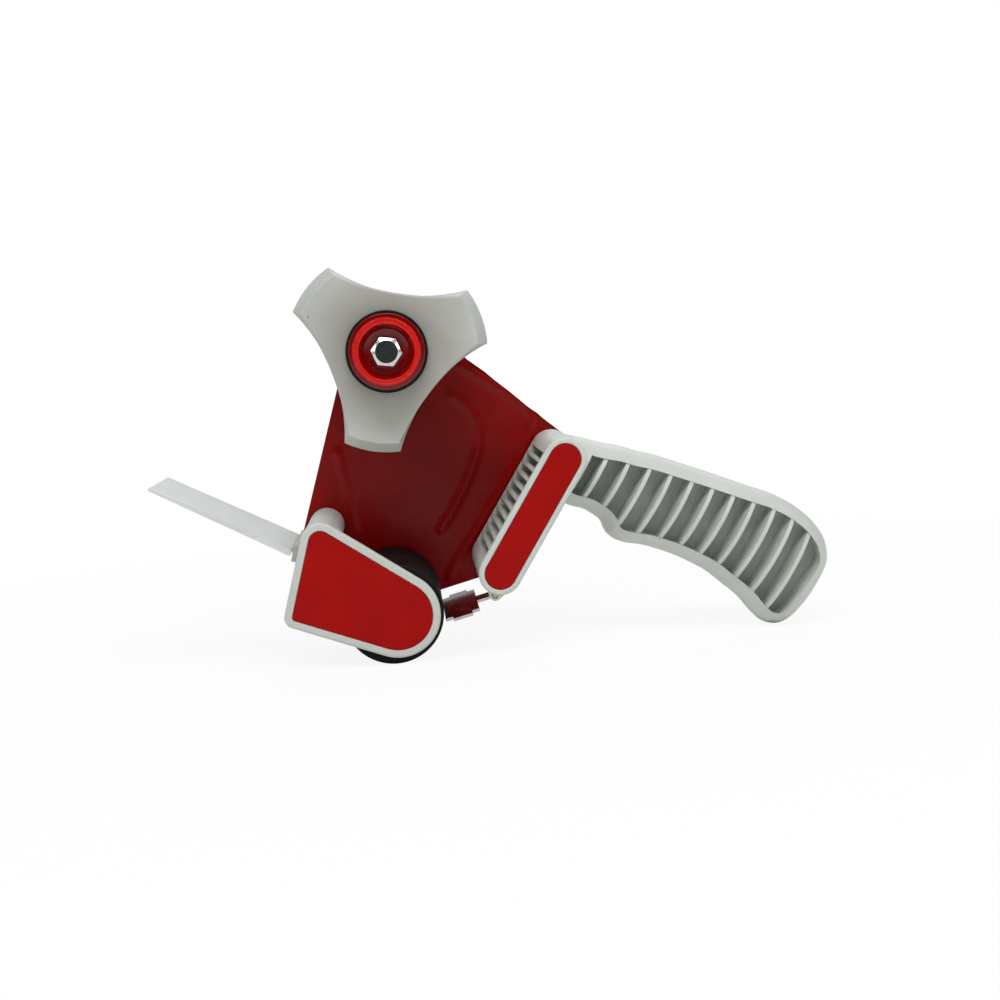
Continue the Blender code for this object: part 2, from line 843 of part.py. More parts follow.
def build_flap():
    """The wiper flap that presses tape down, and the strip that it hinges on."""
    axis, normal = flap_hinge()
    knuckle = flap_root_thickness / 2
    tip_radius = flap_tip_thickness / 2
    span = flap_length - knuckle - tip_radius
    tip = Vector((-math.cos(flap_rise), math.sin(flap_rise))) * span
    outline = tangent_hull([(axis.x, axis.y, knuckle), (axis.x + tip.x, axis.y + tip.y, tip_radius)])
    near, far = flap_front, flap_front + flap_width
    prism("wiper_flap", outline, flap_width, side_on(near, far), pale_plastic, flap_axis)
    inner = seat_gap
    outer = flap_hinge_reach - knuckle - running_gap
    seat = axis - normal * flap_hinge_reach
    middle = seat + normal * (inner + outer) / 2
    matrix = frame_at(middle.x, (near + far) / 2, middle.y, (normal.x, 0, normal.y), (0, 1, 0))
    block("flap_mount", (outer - inner, flap_width, flap_mount_height), matrix, dark_grey_plastic)


def grip_edges(out):
    """The grip's lower and upper edge at a distance out from the bracket's axis."""
    rows = [(a * grip_length, b * grip_reach, c * grip_reach) for a, b, c, _ in grip_station_shares]
    for first, second in zip(rows, rows[1:]):
        if out <= second[0]:
            share = (out - first[0]) / (second[0] - first[0])
            return first[1] + (second[1] - first[1]) * share, first[2] + (second[2] - first[2]) * share
    return rows[-1][1:]


def grip_rings():
    rings = []
    for a, b, c, d in grip_station_shares:
        out, low, high = a * grip_length, b * grip_reach, c * grip_reach
        ring = []
        for i in range(grip_section_points):
            turn = math.tau * i / grip_section_points
            along = (low + high) / 2 - (high - low) / 2 * math.cos(turn)
            at = bracket_point(along, out)
            ring.append((at.x, body_depth / 2 + d * grip_half_depth * math.sin(turn), at.y))
        rings.append(ring)
    return rings


def pocket_spans():
    """The stretches between the grip's ribs, which share out the length that the pockets take."""
    start, end = bracket_radius + pocket_start_wall, grip_length - pocket_end_wall
    first = start + hand_rib_start_gap
    ribs = [first + (end - first) * i / hand_rib_count for i in range(hand_rib_count)]
    starts = [start] + [rib + hand_rib_thickness / 2 for rib in ribs]
    ends = [rib - hand_rib_thickness / 2 for rib in ribs] + [end]
    return list(zip(starts, ends))


def build_handle():
    """The bracket and the ribbed grip, one moulding, with the bracket's red label."""
    top, foot = bracket_point(bracket_length), bracket_point(0.0)
    stadium = [(foot.x, foot.y, bracket_radius), (top.x, top.y, bracket_radius)]
    far = body_depth - seat_gap
    handle = prism("handle", tangent_hull(stadium), far, side_on(0, far), grey_plastic)
    round_edges(handle, edge_round)
    join(handle, loft("grip_blank", grip_rings(), Matrix()))
    web_half = pocket_web_thickness / 2
    depth = grip_half_depth + cut_overrun - web_half
    for side in (-1, 1):
        y = body_depth / 2 + side * (web_half + depth / 2)
        for number, (start, end) in enumerate(pocket_spans()):
            steps = [start + (end - start) * i / (pocket_samples - 1) for i in range(pocket_samples)]
            lower = [bracket_point(grip_edges(out)[0] + pocket_wall, out) for out in steps]
            upper = [bracket_point(grip_edges(out)[1] - pocket_wall, out) for out in reversed(steps)]
            outline = [(point.x, point.y) for point in lower + upper]
            label = "near" if side < 0 else "far"
            pocket = prism(f"grip_pocket_{label}_{number + 1}", outline, depth, side_on(y, y))
            cut(handle, pocket)
    slot_near, slot_far = slot_end_wall, far - slot_end_wall
    size = (slot_depth + cut_overrun, slot_far - slot_near, slot_width)
    out = slot_depth - bracket_radius - size[0] / 2
    for i in range(slot_count):
        matrix = bracket_frame(slot_first + slot_pitch * i, out, (slot_near + slot_far) / 2)
        cut(handle, block(f"bracket_slot_{i + 1}", size, matrix))
    label_inset = bracket_label_radius - bracket_radius
    recess = tangent_hull(grown(stadium, label_inset))
    recess_matrix = side_on(recess_depth - cut_overrun, recess_depth)
    cut(handle, prism("bracket_recess", recess, cut_overrun, recess_matrix))
    places = screw_places()
    for name in ("bracket_screw_upper", "bracket_screw_lower"):
        cut(handle, screw_cutter(name + "_seat", places[name]))
    build_label("bracket_label", grown(stadium, label_inset - label_gap))


def build_roller():
    """The rubber-covered roller on its steel axle."""
    back = roller_front + roller_length
    sleeve_bore = roller_radius - rubber_thickness
    axis = facing_far(roller_x, roller_z)
    tube("roller_rubber", roller_radius, sleeve_bore, roller_front, back, axis, black_rubber, roller_axis)
    core_radius = sleeve_bore - seat_gap
    bore = roller_axle_radius + running_gap
    core_near, core_far = roller_front + core_recess, back - core_recess
    tube("roller_core", core_radius, bore, core_near, core_far, axis, pale_plastic, roller_axis)
    spacer_far = body_depth - seat_gap
    spacer_bore = roller_axle_radius + seat_gap
    tube("roller_spacer", roller_boss_radius, spacer_bore, core_far + running_gap, spacer_far, axis, steel)
    nut_near = body_depth + plate_thickness + seat_gap
    nut_far = nut_near + axle_nut_height
    rod("roller_axle", roller_axle_radius, axle_seat_depth, nut_far + seat_gap, axis, bright_steel)
    nut_frame = Matrix.Translation((roller_x, 0, roller_z)) @ side_on(nut_near, nut_far)
    nut = prism("roller_axle_nut", hexagon(axle_nut_flats), axle_nut_height, nut_frame, steel)
    cut(nut, rod("roller_nut_bore", spacer_bore, nut_near - cut_overrun, nut_far + cut_overrun, axis))


def retainer_frame():
    """Local X across the gun, local Y from the pivot down the plate towards the roller."""
    along, up = math.cos(retainer_rise), math.sin(retainer_rise)
    x, z = retainer_pivot_x + retainer_drop * up, retainer_pivot_z - retainer_drop * along
    return frame_at(x, 0.0, z, (0, 1, 0), (-along, 0, -up))


def build_retainer():
    """The notched steel plate that keeps the tape's end against the roller."""
    near, far = retainer_near, retainer_near + retainer_width
    middle = body_depth / 2
    tab_near, tab_far = middle - retainer_tab_width / 2, middle + retainer_tab_width / 2
    inner = retainer_reach - retainer_blade_length
    notch = retainer_notch
    notch_start, notch_end = inner + retainer_notch_width, retainer_reach - retainer_notch_width
    tab_start = retainer_eye_radius / 2
    outline = [
        (tab_near, tab_start), (tab_far, tab_start), (tab_far, inner), (far - notch, inner),
        (far - notch, notch_start), (far, notch_start), (far, notch_end), (far - notch, notch_end),
        (far - notch, retainer_reach), (near + notch, retainer_reach),
        (near + notch, notch_end), (near, notch_end), (near, notch_start), (near + notch, notch_start),
        (near + notch, inner), (tab_near, inner),
    ]
    matrix = retainer_frame()
    plate = prism("retainer_plate", outline, retainer_thickness, matrix, bright_steel, retainer_axis)
    axis = facing_far(retainer_pivot_x, retainer_pivot_z)
    eye_ends = tab_near + retainer_eye_inset, tab_far - retainer_eye_inset
    eye = rod("retainer_eye", retainer_eye_radius, *eye_ends, axis, steps=small_round_steps)
    join(plate, eye, "MANIFOLD")
    pin_hole = retainer_pin_radius + running_gap
    eye_near, eye_far = tab_near - cut_overrun, tab_far + cut_overrun
    cut(plate, rod("retainer_eye_bore", pin_hole, eye_near, eye_far, axis, steps=small_round_steps))
    pin_near, pin_far = middle - retainer_pin_length / 2, middle + retainer_pin_length / 2
    rod("retainer_pin", retainer_pin_radius, pin_near, pin_far, axis, bright_steel, steps=small_round_steps)
    foot = bracket_point(0.0)
    pivot = Vector((retainer_pivot_x, retainer_pivot_z))
    seat = foot + (pivot - foot).normalized() * (bracket_radius + seat_gap + retainer_block_foot_radius)
    outline = [
        (pivot.x, pivot.y, retainer_block_radius),
        (seat.x + retainer_block_radius, seat.y, retainer_block_foot_radius),
        (seat.x - retainer_block_radius / 2, seat.y, retainer_block_foot_radius),
    ]
    block_near, block_far = middle - retainer_block_width / 2, middle + retainer_block_width / 2
    matrix = side_on(block_near, block_far)
    ears = prism("retainer_block", tangent_hull(outline), retainer_block_width, matrix, cream_plastic)
    seat_outline = arc(foot.x, foot.y, bracket_radius + seat_gap, 0.0, math.tau - arc_step)
    cut(ears, prism("bracket_clearance", seat_outline, retainer_block_width + cut_overrun, matrix))
    room = (
        bracket_radius,
        retainer_tab_width + 2 * running_gap,
        2 * (retainer_eye_radius + running_gap) + cut_overrun,
    )
    room_at = Matrix.Translation((retainer_pivot_x, middle, retainer_pivot_z - cut_overrun / 2))
    cut(ears, block("retainer_room", room, room_at))
    hole = retainer_pin_radius + seat_gap
    hole_ends = block_near - cut_overrun, block_far + cut_overrun
    cut(ears, rod("retainer_pin_hole", hole, *hole_ends, axis, steps=small_round_steps))


def lean_angle():
    """The slope of the line that touches the roller from below and the grip's end."""
    centre = Vector((roller_x, roller_z))
    angles = []
    for out_share, low_share, _, _ in grip_station_shares:
        offset = bracket_point(low_share * grip_reach, out_share * grip_length) - centre
        angles.append(math.atan2(offset.y, offset.x) + math.asin(roller_radius / offset.length))
    return min(angles)


def set_down():
    """Lean the gun, then bring its lowest point to z = 0 and its middle over the origin."""
    stance.rotation_euler = (0.0, lean_angle(), 0.0)
    bpy.context.view_layer.update()
    graph = bpy.context.evaluated_depsgraph_get()
    corners = []
    for piece in parts.objects:
        if piece.type == "MESH":
            solid = piece.evaluated_get(graph)
            corners += [solid.matrix_world @ vertex.co for vertex in solid.data.vertices]
    low = [min(corner[i] for corner in corners) for i in range(3)]
    high = [max(corner[i] for corner in corners) for i in range(3)]
    stance.location = (-(low[0] + high[0]) / 2, -(low[1] + high[1]) / 2, -low[2])


for leftover in list(bpy.data.objects):
    bpy.data.objects.remove(leftover)

parts = collection("tape_dispenser")
cutters = collection("cutters")

grey_plastic = material("grey_plastic", (0.60, 0.63, 0.57), 0.42)
dark_grey_plastic = material("dark_grey_plastic", (0.36, 0.38, 0.34), 0.5)
pale_plastic = material("pale_plastic", (0.68, 0.70, 0.68), 0.4)
cream_plastic = material("cream_plastic", (0.83, 0.80, 0.58), 0.45)
red_plastic = material("red_plastic", (0.62, 0.01, 0.01), 0.3)
red_paint = material("red_paint", (0.20, 0.003, 0.003), 0.2)
label_red = material("label_red", (0.32, 0.008, 0.006), 0.45)
black_rubber = material("black_rubber", (0.012, 0.012, 0.012), 0.75)
steel = material("steel", (0.45, 0.45, 0.45), 0.4, 1.0)
bright_steel = material("bright_steel", (0.75, 0.75, 0.76), 0.2, 1.0)

stance = axis_empty("stance")
hub_axis = axis_empty("hub_axis", parent=stance)
knob_slide = axis_empty("knob_slide", parent=stance)
knob_axis = axis_empty("knob_axis", parent=stance)
roller_axis = axis_empty("roller_axis", roller_x, 0.0, roller_z, stance)
flap_at = flap_hinge()[0]
flap_axis = axis_empty("flap_axis", flap_at.x, 0.0, flap_at.y, stance)
retainer_axis = axis_empty("retainer_axis", retainer_pivot_x, 0.0, retainer_pivot_z, stance)

build_plate()
build_plate_screws()
build_axle()
build_spring()
build_thrust_washer()
build_knob()
build_hub()
build_roller()
build_housing()
build_blade()
build_flap()
build_handle()
build_retainer()
set_down()
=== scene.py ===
"""The looks of a hand-held packing tape dispenser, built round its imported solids.

Lengths are in metres. Pieces are drawn in the gun frame, whose origin is on the tape hub's axle in the plane
of the cover's near face: X runs towards the grip, Z up, and Y from the cover to the steel side plate.
"""

import json
import math

import bmesh
import bpy
from mathutils import Matrix, Vector, geometry


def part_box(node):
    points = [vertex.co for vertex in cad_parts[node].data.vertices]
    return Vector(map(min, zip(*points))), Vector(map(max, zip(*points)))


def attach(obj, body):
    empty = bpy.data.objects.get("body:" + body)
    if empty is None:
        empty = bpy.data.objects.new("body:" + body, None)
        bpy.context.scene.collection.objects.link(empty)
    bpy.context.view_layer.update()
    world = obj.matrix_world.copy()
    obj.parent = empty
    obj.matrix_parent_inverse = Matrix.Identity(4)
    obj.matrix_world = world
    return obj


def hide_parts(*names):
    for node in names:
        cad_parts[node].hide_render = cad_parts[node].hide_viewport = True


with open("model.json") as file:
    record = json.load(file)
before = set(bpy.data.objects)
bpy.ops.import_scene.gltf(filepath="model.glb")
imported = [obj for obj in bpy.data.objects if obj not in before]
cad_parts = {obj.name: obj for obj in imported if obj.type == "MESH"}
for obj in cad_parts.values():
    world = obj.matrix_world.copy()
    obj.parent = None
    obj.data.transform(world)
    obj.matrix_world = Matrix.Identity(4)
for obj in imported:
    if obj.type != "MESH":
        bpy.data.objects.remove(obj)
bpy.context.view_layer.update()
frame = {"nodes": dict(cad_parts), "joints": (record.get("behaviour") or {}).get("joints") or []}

# Fineness
arc_step = math.radians(4)
edge_steps = 4
turn_steps = 96
sharp_angle = math.radians(32)
weld_distance = 0.000003
cut_overrun = 0.003

# Body
body_depth = 0.056
seat_gap = 0.0003
skin_thickness = 0.003
roller_x = 0.0018
roller_z = -0.0987

# Tape hub
lobe_count = 3
lobe_first_angle = math.radians(21)
hub_lobe_half_angle = math.radians(16.3)
hub_rim_radius = 0.038
hub_front_radius = 0.0345
hub_waist_radius = 0.0219
hub_front = 0.004
hub_taper_depth = 0.008
hub_length = 0.049
hub_wall = 0.0026
hub_core_radius = 0.0155
hub_bore_radius = 0.0053
hub_edge_round = 0.0009
hub_flank_steps = 28
hub_rim_steps = 24
hub_rib_count = 5
hub_rib_height = 0.0007
hub_rib_start_shares = (0.1, 0.2)
hub_rib_half_angle = math.radians(0.75)
gate_mark_radius = 0.0004
gate_mark_x = -0.0288
gate_mark_z = 0.0126

# Knob, bolt head and washer
knob_back = 0.0005
knob_flange_radius = 0.0141
knob_flange_length = 0.0024
knob_grip_radius = 0.0122
knob_front = -0.0105
knob_ridge_count = 96
knob_ridge_height = 0.00035
knob_dish_radius = 0.0101
knob_dish_floor_radius = 0.0086
knob_dish_depth = 0.0042
knob_pocket_radius = 0.0088
knob_pocket_depth = 0.0052
knob_floor_steps = ((0.0012, 0.0), (0.0003, 0.0003), (0.0, 0.0010))
knob_ridge_gap = 0.0006
knob_root_round = 0.0002
knob_round = 0.0006
bolt_flats = 0.010
bolt_head_height = 0.004
bolt_head_turn = math.radians(-4.5)
bolt_top_radius = 0.00415
bolt_radius = 0.003
bolt_overhang = 0.0006
washer_radius = 0.01525
washer_bore = 0.0053
washer_face = 0.0018
washer_thickness = 0.0018
washer_round = 0.0005
nut_height = 0.005
nut_top_share = 0.96
bolt_dish_share = 0.94
bolt_dish_depth = 0.00012
bolt_face_depth = 0.0002
nut_chamfer = 0.0004

# Roller
roller_radius = 0.0191
roller_front = 0.0036
roller_length = 0.0504
rubber_thickness = 0.0042
rubber_round = 0.0007
roller_axle_radius = 0.003
axle_nut_flats = 0.0085
axle_nut_height = 0.0035

# Side plate
plate_thickness = 0.0012
plate_hub_radius = 0.0165
plate_toe_x = -0.0255
plate_toe_z = -0.0973
plate_toe_radius = 0.015
plate_edge_round = 0.0003
plate_grid = 0.0035
bead_half_width = 0.0030
bead_height = 0.0007
bead_step = 0.0009
bead_rail_shares = (-1.3, -1.0, -0.75, -0.5, -0.25, 0.0, 0.25, 0.5, 0.75, 1.0, 1.3)
bead_end_shares = (0.33, 0.66, 1.0, 1.3)
bead_end_turns = (-60, -30, 0, 30, 60)
bead_clear_share = 1.6
bead_outer_x = 0.0582
bead_outer_z = -0.0962
bead_outer_shares = (
    (0.505, 0.060), (0.878, 0.199), (0.972, 0.252), (1.000, 0.302), (0.962, 0.400),
    (0.907, 0.472), (0.643, 0.740), (0.462, 0.918), (0.425, 0.965),
)
bead_inner_x = 0.0365
bead_inner_z = -0.0750
bead_inner_shares = (
    (0.720, 0.244), (0.893, 0.316), (0.985, 0.400), (1.000, 0.470), (0.989, 0.555),
    (0.871, 0.721), (0.720, 0.867), (0.573, 0.980),
)
bead_left_x = -0.0208
bead_left_z = -0.0741
bead_left_shares = ((1.000, 0.561), (0.913, 0.663), (0.832, 0.769), (0.750, 0.884), (0.678, 1.000))

# Front housing and its label
nose_x = 0.0035
nose_z = -0.0987
nose_radius = 0.0161
shoulder_x = -0.0253
shoulder_z = -0.0708
shoulder_radius = 0.0074
toe_x = -0.0347
toe_z = -0.0990
toe_radius = 0.0043
wall_inset = 0.0003
wall_round = 0.0005
rim_width = 0.0029
rim_outer_round = 0.0010
rim_inner_round = 0.0003
recess_depth = 0.0010
recess_corner = 0.0006
recess_corner_step = 0.0001
cover_far_round = 0.0004
wall_overlap = 0.0008
label_near = 0.0002
label_thickness = 0.0005
label_gap = 0.0002
label_round = 0.00012

# Bracket and grip
bracket_x = 0.0421
bracket_z = -0.0832
bracket_length = 0.0495
bracket_radius = 0.0082
bracket_lean = math.radians(29.4)
bracket_label_radius = 0.0061
slot_count = 11
slot_pitch = 0.0042
slot_width = 0.0029
slot_depth = 0.0068
slot_first = 0.0042
slot_end_wall = 0.0026
grip_length = 0.1153
grip_reach = 0.0782
grip_half_depth = 0.016
grip_section_points = 48
grip_steps_per_span = 3
# Each row: along the grip, its lower edge, its upper edge, and its half depth
grip_station_shares = (
    (-0.018, 0.430, 0.735, 1.00),
    (0.030, 0.430, 0.757, 1.00),
    (0.114, 0.435, 0.791, 1.00),
    (0.175, 0.456, 0.822, 1.00),
    (0.228, 0.452, 0.839, 1.00),
    (0.278, 0.406, 0.862, 1.00),
    (0.316, 0.398, 0.875, 1.00),
    (0.408, 0.442, 0.903, 1.00),
    (0.478, 0.465, 0.924, 1.00),
    (0.553, 0.480, 0.944, 1.00),
    (0.632, 0.485, 0.966, 1.00),
    (0.716, 0.468, 0.989, 1.00),
    (0.781, 0.453, 0.994, 1.00),
    (0.855, 0.415, 0.982, 1.00),
    (0.904, 0.401, 0.959, 0.98),
    (0.944, 0.417, 0.929, 0.90),
    (0.967, 0.448, 0.897, 0.80),
    (0.981, 0.504, 0.874, 0.68),
    (0.989, 0.634, 0.855, 0.50),
    (1.000, 0.761, 0.806, 0.18),
)
window_wall = 0.0053
window_crowd_share = 0.97
window_start_wall = 0.0020
web_thickness = 0.003
hand_rib_count = 11
window_end_wall = 0.0060
hand_rib_start_gap = 0.0056
hand_rib_thickness = 0.0015
hand_rib_drop_share = 0.955
hand_rib_middle_share = 0.7
moulded_edge = 0.00035

# Screws
screw_radius = 0.0018
screw_head_radius = 0.0036
screw_head_height = 0.0022
screw_depth = 0.011
screw_crown_shares = ((1.0, 0.35), (0.93, 0.65), (0.76, 0.88))
screw_top_share = 0.45
cross_width = 0.0008
cross_length = 0.0040
cross_depth = 0.0011

# Light and camera, the camera in the gun frame
camera_x = 0.0050
camera_y = -0.5513
camera_z = 0.0024
camera_yaw = math.radians(3.82)
camera_pitch = math.radians(-5.95)
camera_lens = 53.5
sensor_width = 36
floor_size = 6.0
floor_clear_from = 0.16
floor_clear_to = 0.42
floor_white_share = 0.90
world_top = 0.40
world_back = 0.35
world_front = 0.02


def gun_frame():
    """World from gun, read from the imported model's hub and roller axes."""
    places = {joint["name"]: Vector(joint["pos_m"]) for joint in frame["joints"] if "pos_m" in joint}
    hub, roller = places["hub_spin"], places["roller_spin"]
    down = roller - hub
    lean = math.atan2(roller_z, roller_x) - math.atan2(down.z, down.x)
    return Matrix.Translation(hub) @ Matrix.Rotation(lean, 4, "Y")


gun = gun_frame()


# Shapes


def put(name, shape, material=None, smooth=True):
    """A bmesh as an object in the gun frame."""
    mesh = bpy.data.meshes.new(name)
    bmesh.ops.recalc_face_normals(shape, faces=shape.faces)
    shape.to_mesh(mesh)
    shape.free()
    made = bpy.data.objects.new(name, mesh)
    bpy.context.scene.collection.objects.link(made)
    made.matrix_world = gun
    if smooth:
        mesh.shade_smooth()
        mesh.set_sharp_from_angle(angle=sharp_angle)
    if material:
        mesh.materials.append(material)
    return made


def settle(made):
    """Apply a piece's modifiers, so that its mesh is final."""
    bpy.context.view_layer.update()
    graph = bpy.context.evaluated_depsgraph_get()
    mesh = bpy.data.meshes.new_from_object(made.evaluated_get(graph))
    made.modifiers.clear()
    made.data = mesh
    return made


def combine(target, other, operation, solver="EXACT"):
    step = target.modifiers.new(operation.lower(), "BOOLEAN")
    step.operation = operation
    step.solver = solver
    step.object = other
    settle(target)
    bpy.data.objects.remove(other)
    target.data.polygons.foreach_set("material_index", [0] * len(target.data.polygons))
    while len(target.data.materials) > 1:
        target.data.materials.pop()
    return target


def bevelled(made, width, segments, angle):
    bevel = made.modifiers.new("rounded edges", "BEVEL")
    bevel.width = width
    bevel.segments = segments
    bevel.limit_method = "ANGLE"
    bevel.angle_limit = angle


def soften(made, width, segments=2, angle=math.radians(40)):
    """Round a finished solid's edges, and let its flat faces keep their own normals."""
    bevelled(made, width, segments, angle)
    settle(made)
    return even(made)


def even(made):
    made.data.shade_smooth()
    made.data.set_sharp_from_angle(angle=sharp_angle)
    weights = made.modifiers.new("even shading", "WEIGHTED_NORMAL")
    weights.keep_sharp = True
    return made


def loft(name, rings, material=None, closed=False):
    """A solid through rings of equal point counts; closed joins the last ring to the first."""
    shape = bmesh.new()
    loops = [[shape.verts.new(point) for point in ring] for ring in rings]
    pairs = list(zip(loops, loops[1:]))
    if closed:
        pairs.append((loops[-1], loops[0]))
    for before, after in pairs:
        for i in range(len(before)):
            j = (i + 1) % len(before)
            shape.faces.new((before[i], before[j], after[j], after[i]))
    if not closed:
        shape.faces.new(loops[0])
        shape.faces.new(loops[-1])
    return even(put(name, shape, material))


def ring(outline, y):
    return [(x, y, z) for x, z in outline]


def circle(x, z, radius, steps=turn_steps, turn=0.0):
    angles = [math.tau * i / steps + turn for i in range(steps)]
    return [(x + radius * math.cos(a), z + radius * math.sin(a)) for a in angles]


def turned(name, profile, x, z, material, closed=False, steps=turn_steps):
    """A solid of revolution about the line along Y through (x, z), from a profile of (radius, y)."""
    rings = [ring(circle(x, z, radius, steps), y) for radius, y in profile]
    return loft(name, rings, material, closed)


edge_turns = [math.pi / 2 * i / edge_steps for i in range(edge_steps + 1)]


def near_round(radius, y, inset=0.0):
    """Steps (inset, y) round an outer edge on the near side, from the face to the flank."""
    return [(inset + radius * (1 - math.sin(a)), y + radius * (1 - math.cos(a))) for a in edge_turns]


def far_round(radius, y, inset=0.0):
    """Steps round an outer edge on the far side, from the flank to the face."""
    return [(inset + radius * (1 - math.cos(a)), y - radius * (1 - math.sin(a))) for a in edge_turns]


def lip_round(radius, y, inset):
    """Steps round a recess's mouth on the near side, from its flank to the face."""
    return [(inset - radius * (1 - math.cos(a)), y + radius * (1 - math.sin(a))) for a in edge_turns]


def rubber_tube(name, near, far, radius, bore, edge, x, z):
    """A rubber tube along Y with rounded outer edges."""
    rounds = near_round(edge, near) + far_round(edge, far)
    profile = [(radius - inset, y) for inset, y in rounds] + [(bore, far), (bore, near)]
    return turned(name, profile, x, z, black_rubber, closed=True)


def arc(x, z, radius, start, end):
    count = max(1, math.ceil(abs(end - start) / arc_step))
    angles = [start + (end - start) * i / count for i in range(count + 1)]
    return [(x + radius * math.cos(a), z + radius * math.sin(a)) for a in angles]


def tangent_angle(first, second):
    """The direction of the outer normal of the line that touches both circles on the right."""
    dx, dz = second[0] - first[0], second[1] - first[1]
    spread = math.acos((first[2] - second[2]) / math.hypot(dx, dz))
    return math.atan2(dz, dx) - spread


def tangent_hull(circles):
    """The outline round circles (x, z, radius), which are listed anticlockwise."""
    points = []
    for i, round_end in enumerate(circles):
        start = tangent_angle(circles[i - 1], round_end)
        end = tangent_angle(round_end, circles[(i + 1) % len(circles)])
        while end < start:
            end += math.tau
        points += arc(*round_end, start, end)
    return points


def grown(circles, by):
    return [(x, z, radius + by) for x, z, radius in circles]


def stack(name, circles, steps, material=None):
    """A solid whose outline is drawn in by each step's inset at that step's y."""
    rings = [ring(tangent_hull(grown(circles, -inset)), y) for inset, y in steps]
    return loft(name, rings, material)


def add_slab(shape, size, matrix):
    made = bmesh.ops.create_cube(shape, size=1.0)["verts"]
    bmesh.ops.scale(shape, vec=size, verts=made)
    bmesh.ops.transform(shape, matrix=matrix, verts=made)


def box(name, size, matrix):
    shape = bmesh.new()
    add_slab(shape, size, matrix)
    return put(name, shape, smooth=False)


def frame_at(x, y, z, local_x, local_y):
    first, second = Vector(local_x).normalized(), Vector(local_y).normalized()
    axes = Matrix((first, second, first.cross(second))).transposed()
    return Matrix.Translation((x, y, z)) @ axes.to_4x4()


def level_through(rows, per_span):
    """Rows between the given ones that never pass beyond their two neighbours in any value."""
    columns = list(zip(*rows))
    places = columns[0]
    made = []
    slopes = []
    for values in columns[1:]:
        steps = [(d - c) / (b - a) for a, b, c, d in zip(places, places[1:], values, values[1:])]
        inner = [2 * p * q / (p + q) if p * q > 0 else 0.0 for p, q in zip(steps, steps[1:])]
        slopes.append([steps[0]] + inner + [steps[-1]])
    for i in range(len(rows) - 1):
        span = places[i + 1] - places[i]
        for step in range(per_span):
            t = step / per_span
            row = [places[i] + span * t]
            for values, slope in zip(columns[1:], slopes):
                start, end = values[i], values[i + 1]
                bend = t * (1 - t) ** 2 * slope[i] * span - t * t * (1 - t) * slope[i + 1] * span
                row.append(start + (end - start) * t * t * (3 - 2 * t) + bend)
            made.append(tuple(row))
    return made + [tuple(rows[-1])]


def curve_through(points, per_span):
    """Points on a smooth curve through the given ones."""
    vectors = [Vector(point) for point in points]
    made = []
    for i in range(len(vectors) - 1):
        before = vectors[max(i - 1, 0)]
        a, b = vectors[i], vectors[i + 1]
        after = vectors[min(i + 2, len(vectors) - 1)]
        for step in range(per_span):
            t = step / per_span
            made.append(
                a
                + (b - before) * (t / 2)
                + (before * 2 - a * 5 + b * 4 - after) * (t * t / 2)
                + (a * 3 - before - b * 3 + after) * (t**3 / 2)
            )
    return made + [vectors[-1]]


# Materials


def new_material(name):
    made = bpy.data.materials.new(name)
    made.use_nodes = True
    return made, made.node_tree.nodes, made.node_tree.links, made.node_tree.nodes["Principled BSDF"]


def textured(nodes, links, kind, size, detail=2.0):
    """A noise texture in object space whose features are about size metres across."""
    place = nodes.new("ShaderNodeTexCoord")
    texture = nodes.new(kind)
    texture.inputs["Scale"].default_value = 1 / size
    if "Detail" in texture.inputs:
        texture.inputs["Detail"].default_value = detail
    links.new(place.outputs["Object"], texture.inputs["Vector"])
    return texture


def noise(nodes, links, size, detail):
    return textured(nodes, links, "ShaderNodeTexNoise", size, detail).outputs["Fac"]


def ranged(nodes, links, value, low, high, start=0.3, end=0.7):
    change = nodes.new("ShaderNodeMapRange")
    change.inputs["From Min"].default_value = start
    change.inputs["From Max"].default_value = end
    change.inputs["To Min"].default_value = low
    change.inputs["To Max"].default_value = high
    links.new(value, change.inputs["Value"])
    return change.outputs["Result"]


def tinted(nodes, links, value, dark, light, start=0.3, end=0.7):
    ramp = nodes.new("ShaderNodeValToRGB")
    ramp.color_ramp.elements[0].position = start
    ramp.color_ramp.elements[0].color = (*dark, 1.0)
    ramp.color_ramp.elements[1].position = end
    ramp.color_ramp.elements[1].color = (*light, 1.0)
    links.new(value, ramp.inputs["Fac"])
    return ramp.outputs["Color"]


def shaded(colour, factor):
    return tuple(min(1.0, channel * factor) for channel in colour)


def bumped(nodes, links, shader, textures):
    """Chain bumps of (texture value, height in metres) into the shader's normal."""
    previous = None
    for value, height in textures:
        bump = nodes.new("ShaderNodeBump")
        bump.inputs["Strength"].default_value = 1.0
        bump.inputs["Distance"].default_value = height
        links.new(value, bump.inputs["Height"])
        if previous:
            links.new(previous, bump.inputs["Normal"])
        previous = bump.outputs["Normal"]
    links.new(previous, shader.inputs["Normal"])


def plastic(name, colour, roughness, contrast=0.035, grain=0.0004, grain_height=0.000012, coat=0.0):
    """Moulded plastic: faint flow marks in its colour, and a fine spark-eroded grain."""
    made, nodes, links, shader = new_material(name)
    flow = noise(nodes, links, 0.02, 4.0)
    dark, light = shaded(colour, 1 - contrast), shaded(colour, 1 + contrast)
    base = tinted(nodes, links, flow, dark, light)
    links.new(base, shader.inputs["Base Color"])
    fine = noise(nodes, links, grain, 3.0)
    smear = noise(nodes, links, 0.006, 3.0)
    rough = ranged(nodes, links, smear, roughness - 0.05, roughness + 0.07)
    links.new(rough, shader.inputs["Roughness"])
    wave = noise(nodes, links, 0.009, 1.0)
    bumped(nodes, links, shader, [(wave, 0.00006), (fine, grain_height)])
    shader.inputs["Specular IOR Level"].default_value = 0.45
    if coat:
        shader.inputs["Coat Weight"].default_value = coat
        shader.inputs["Coat Roughness"].default_value = 0.06
    return made


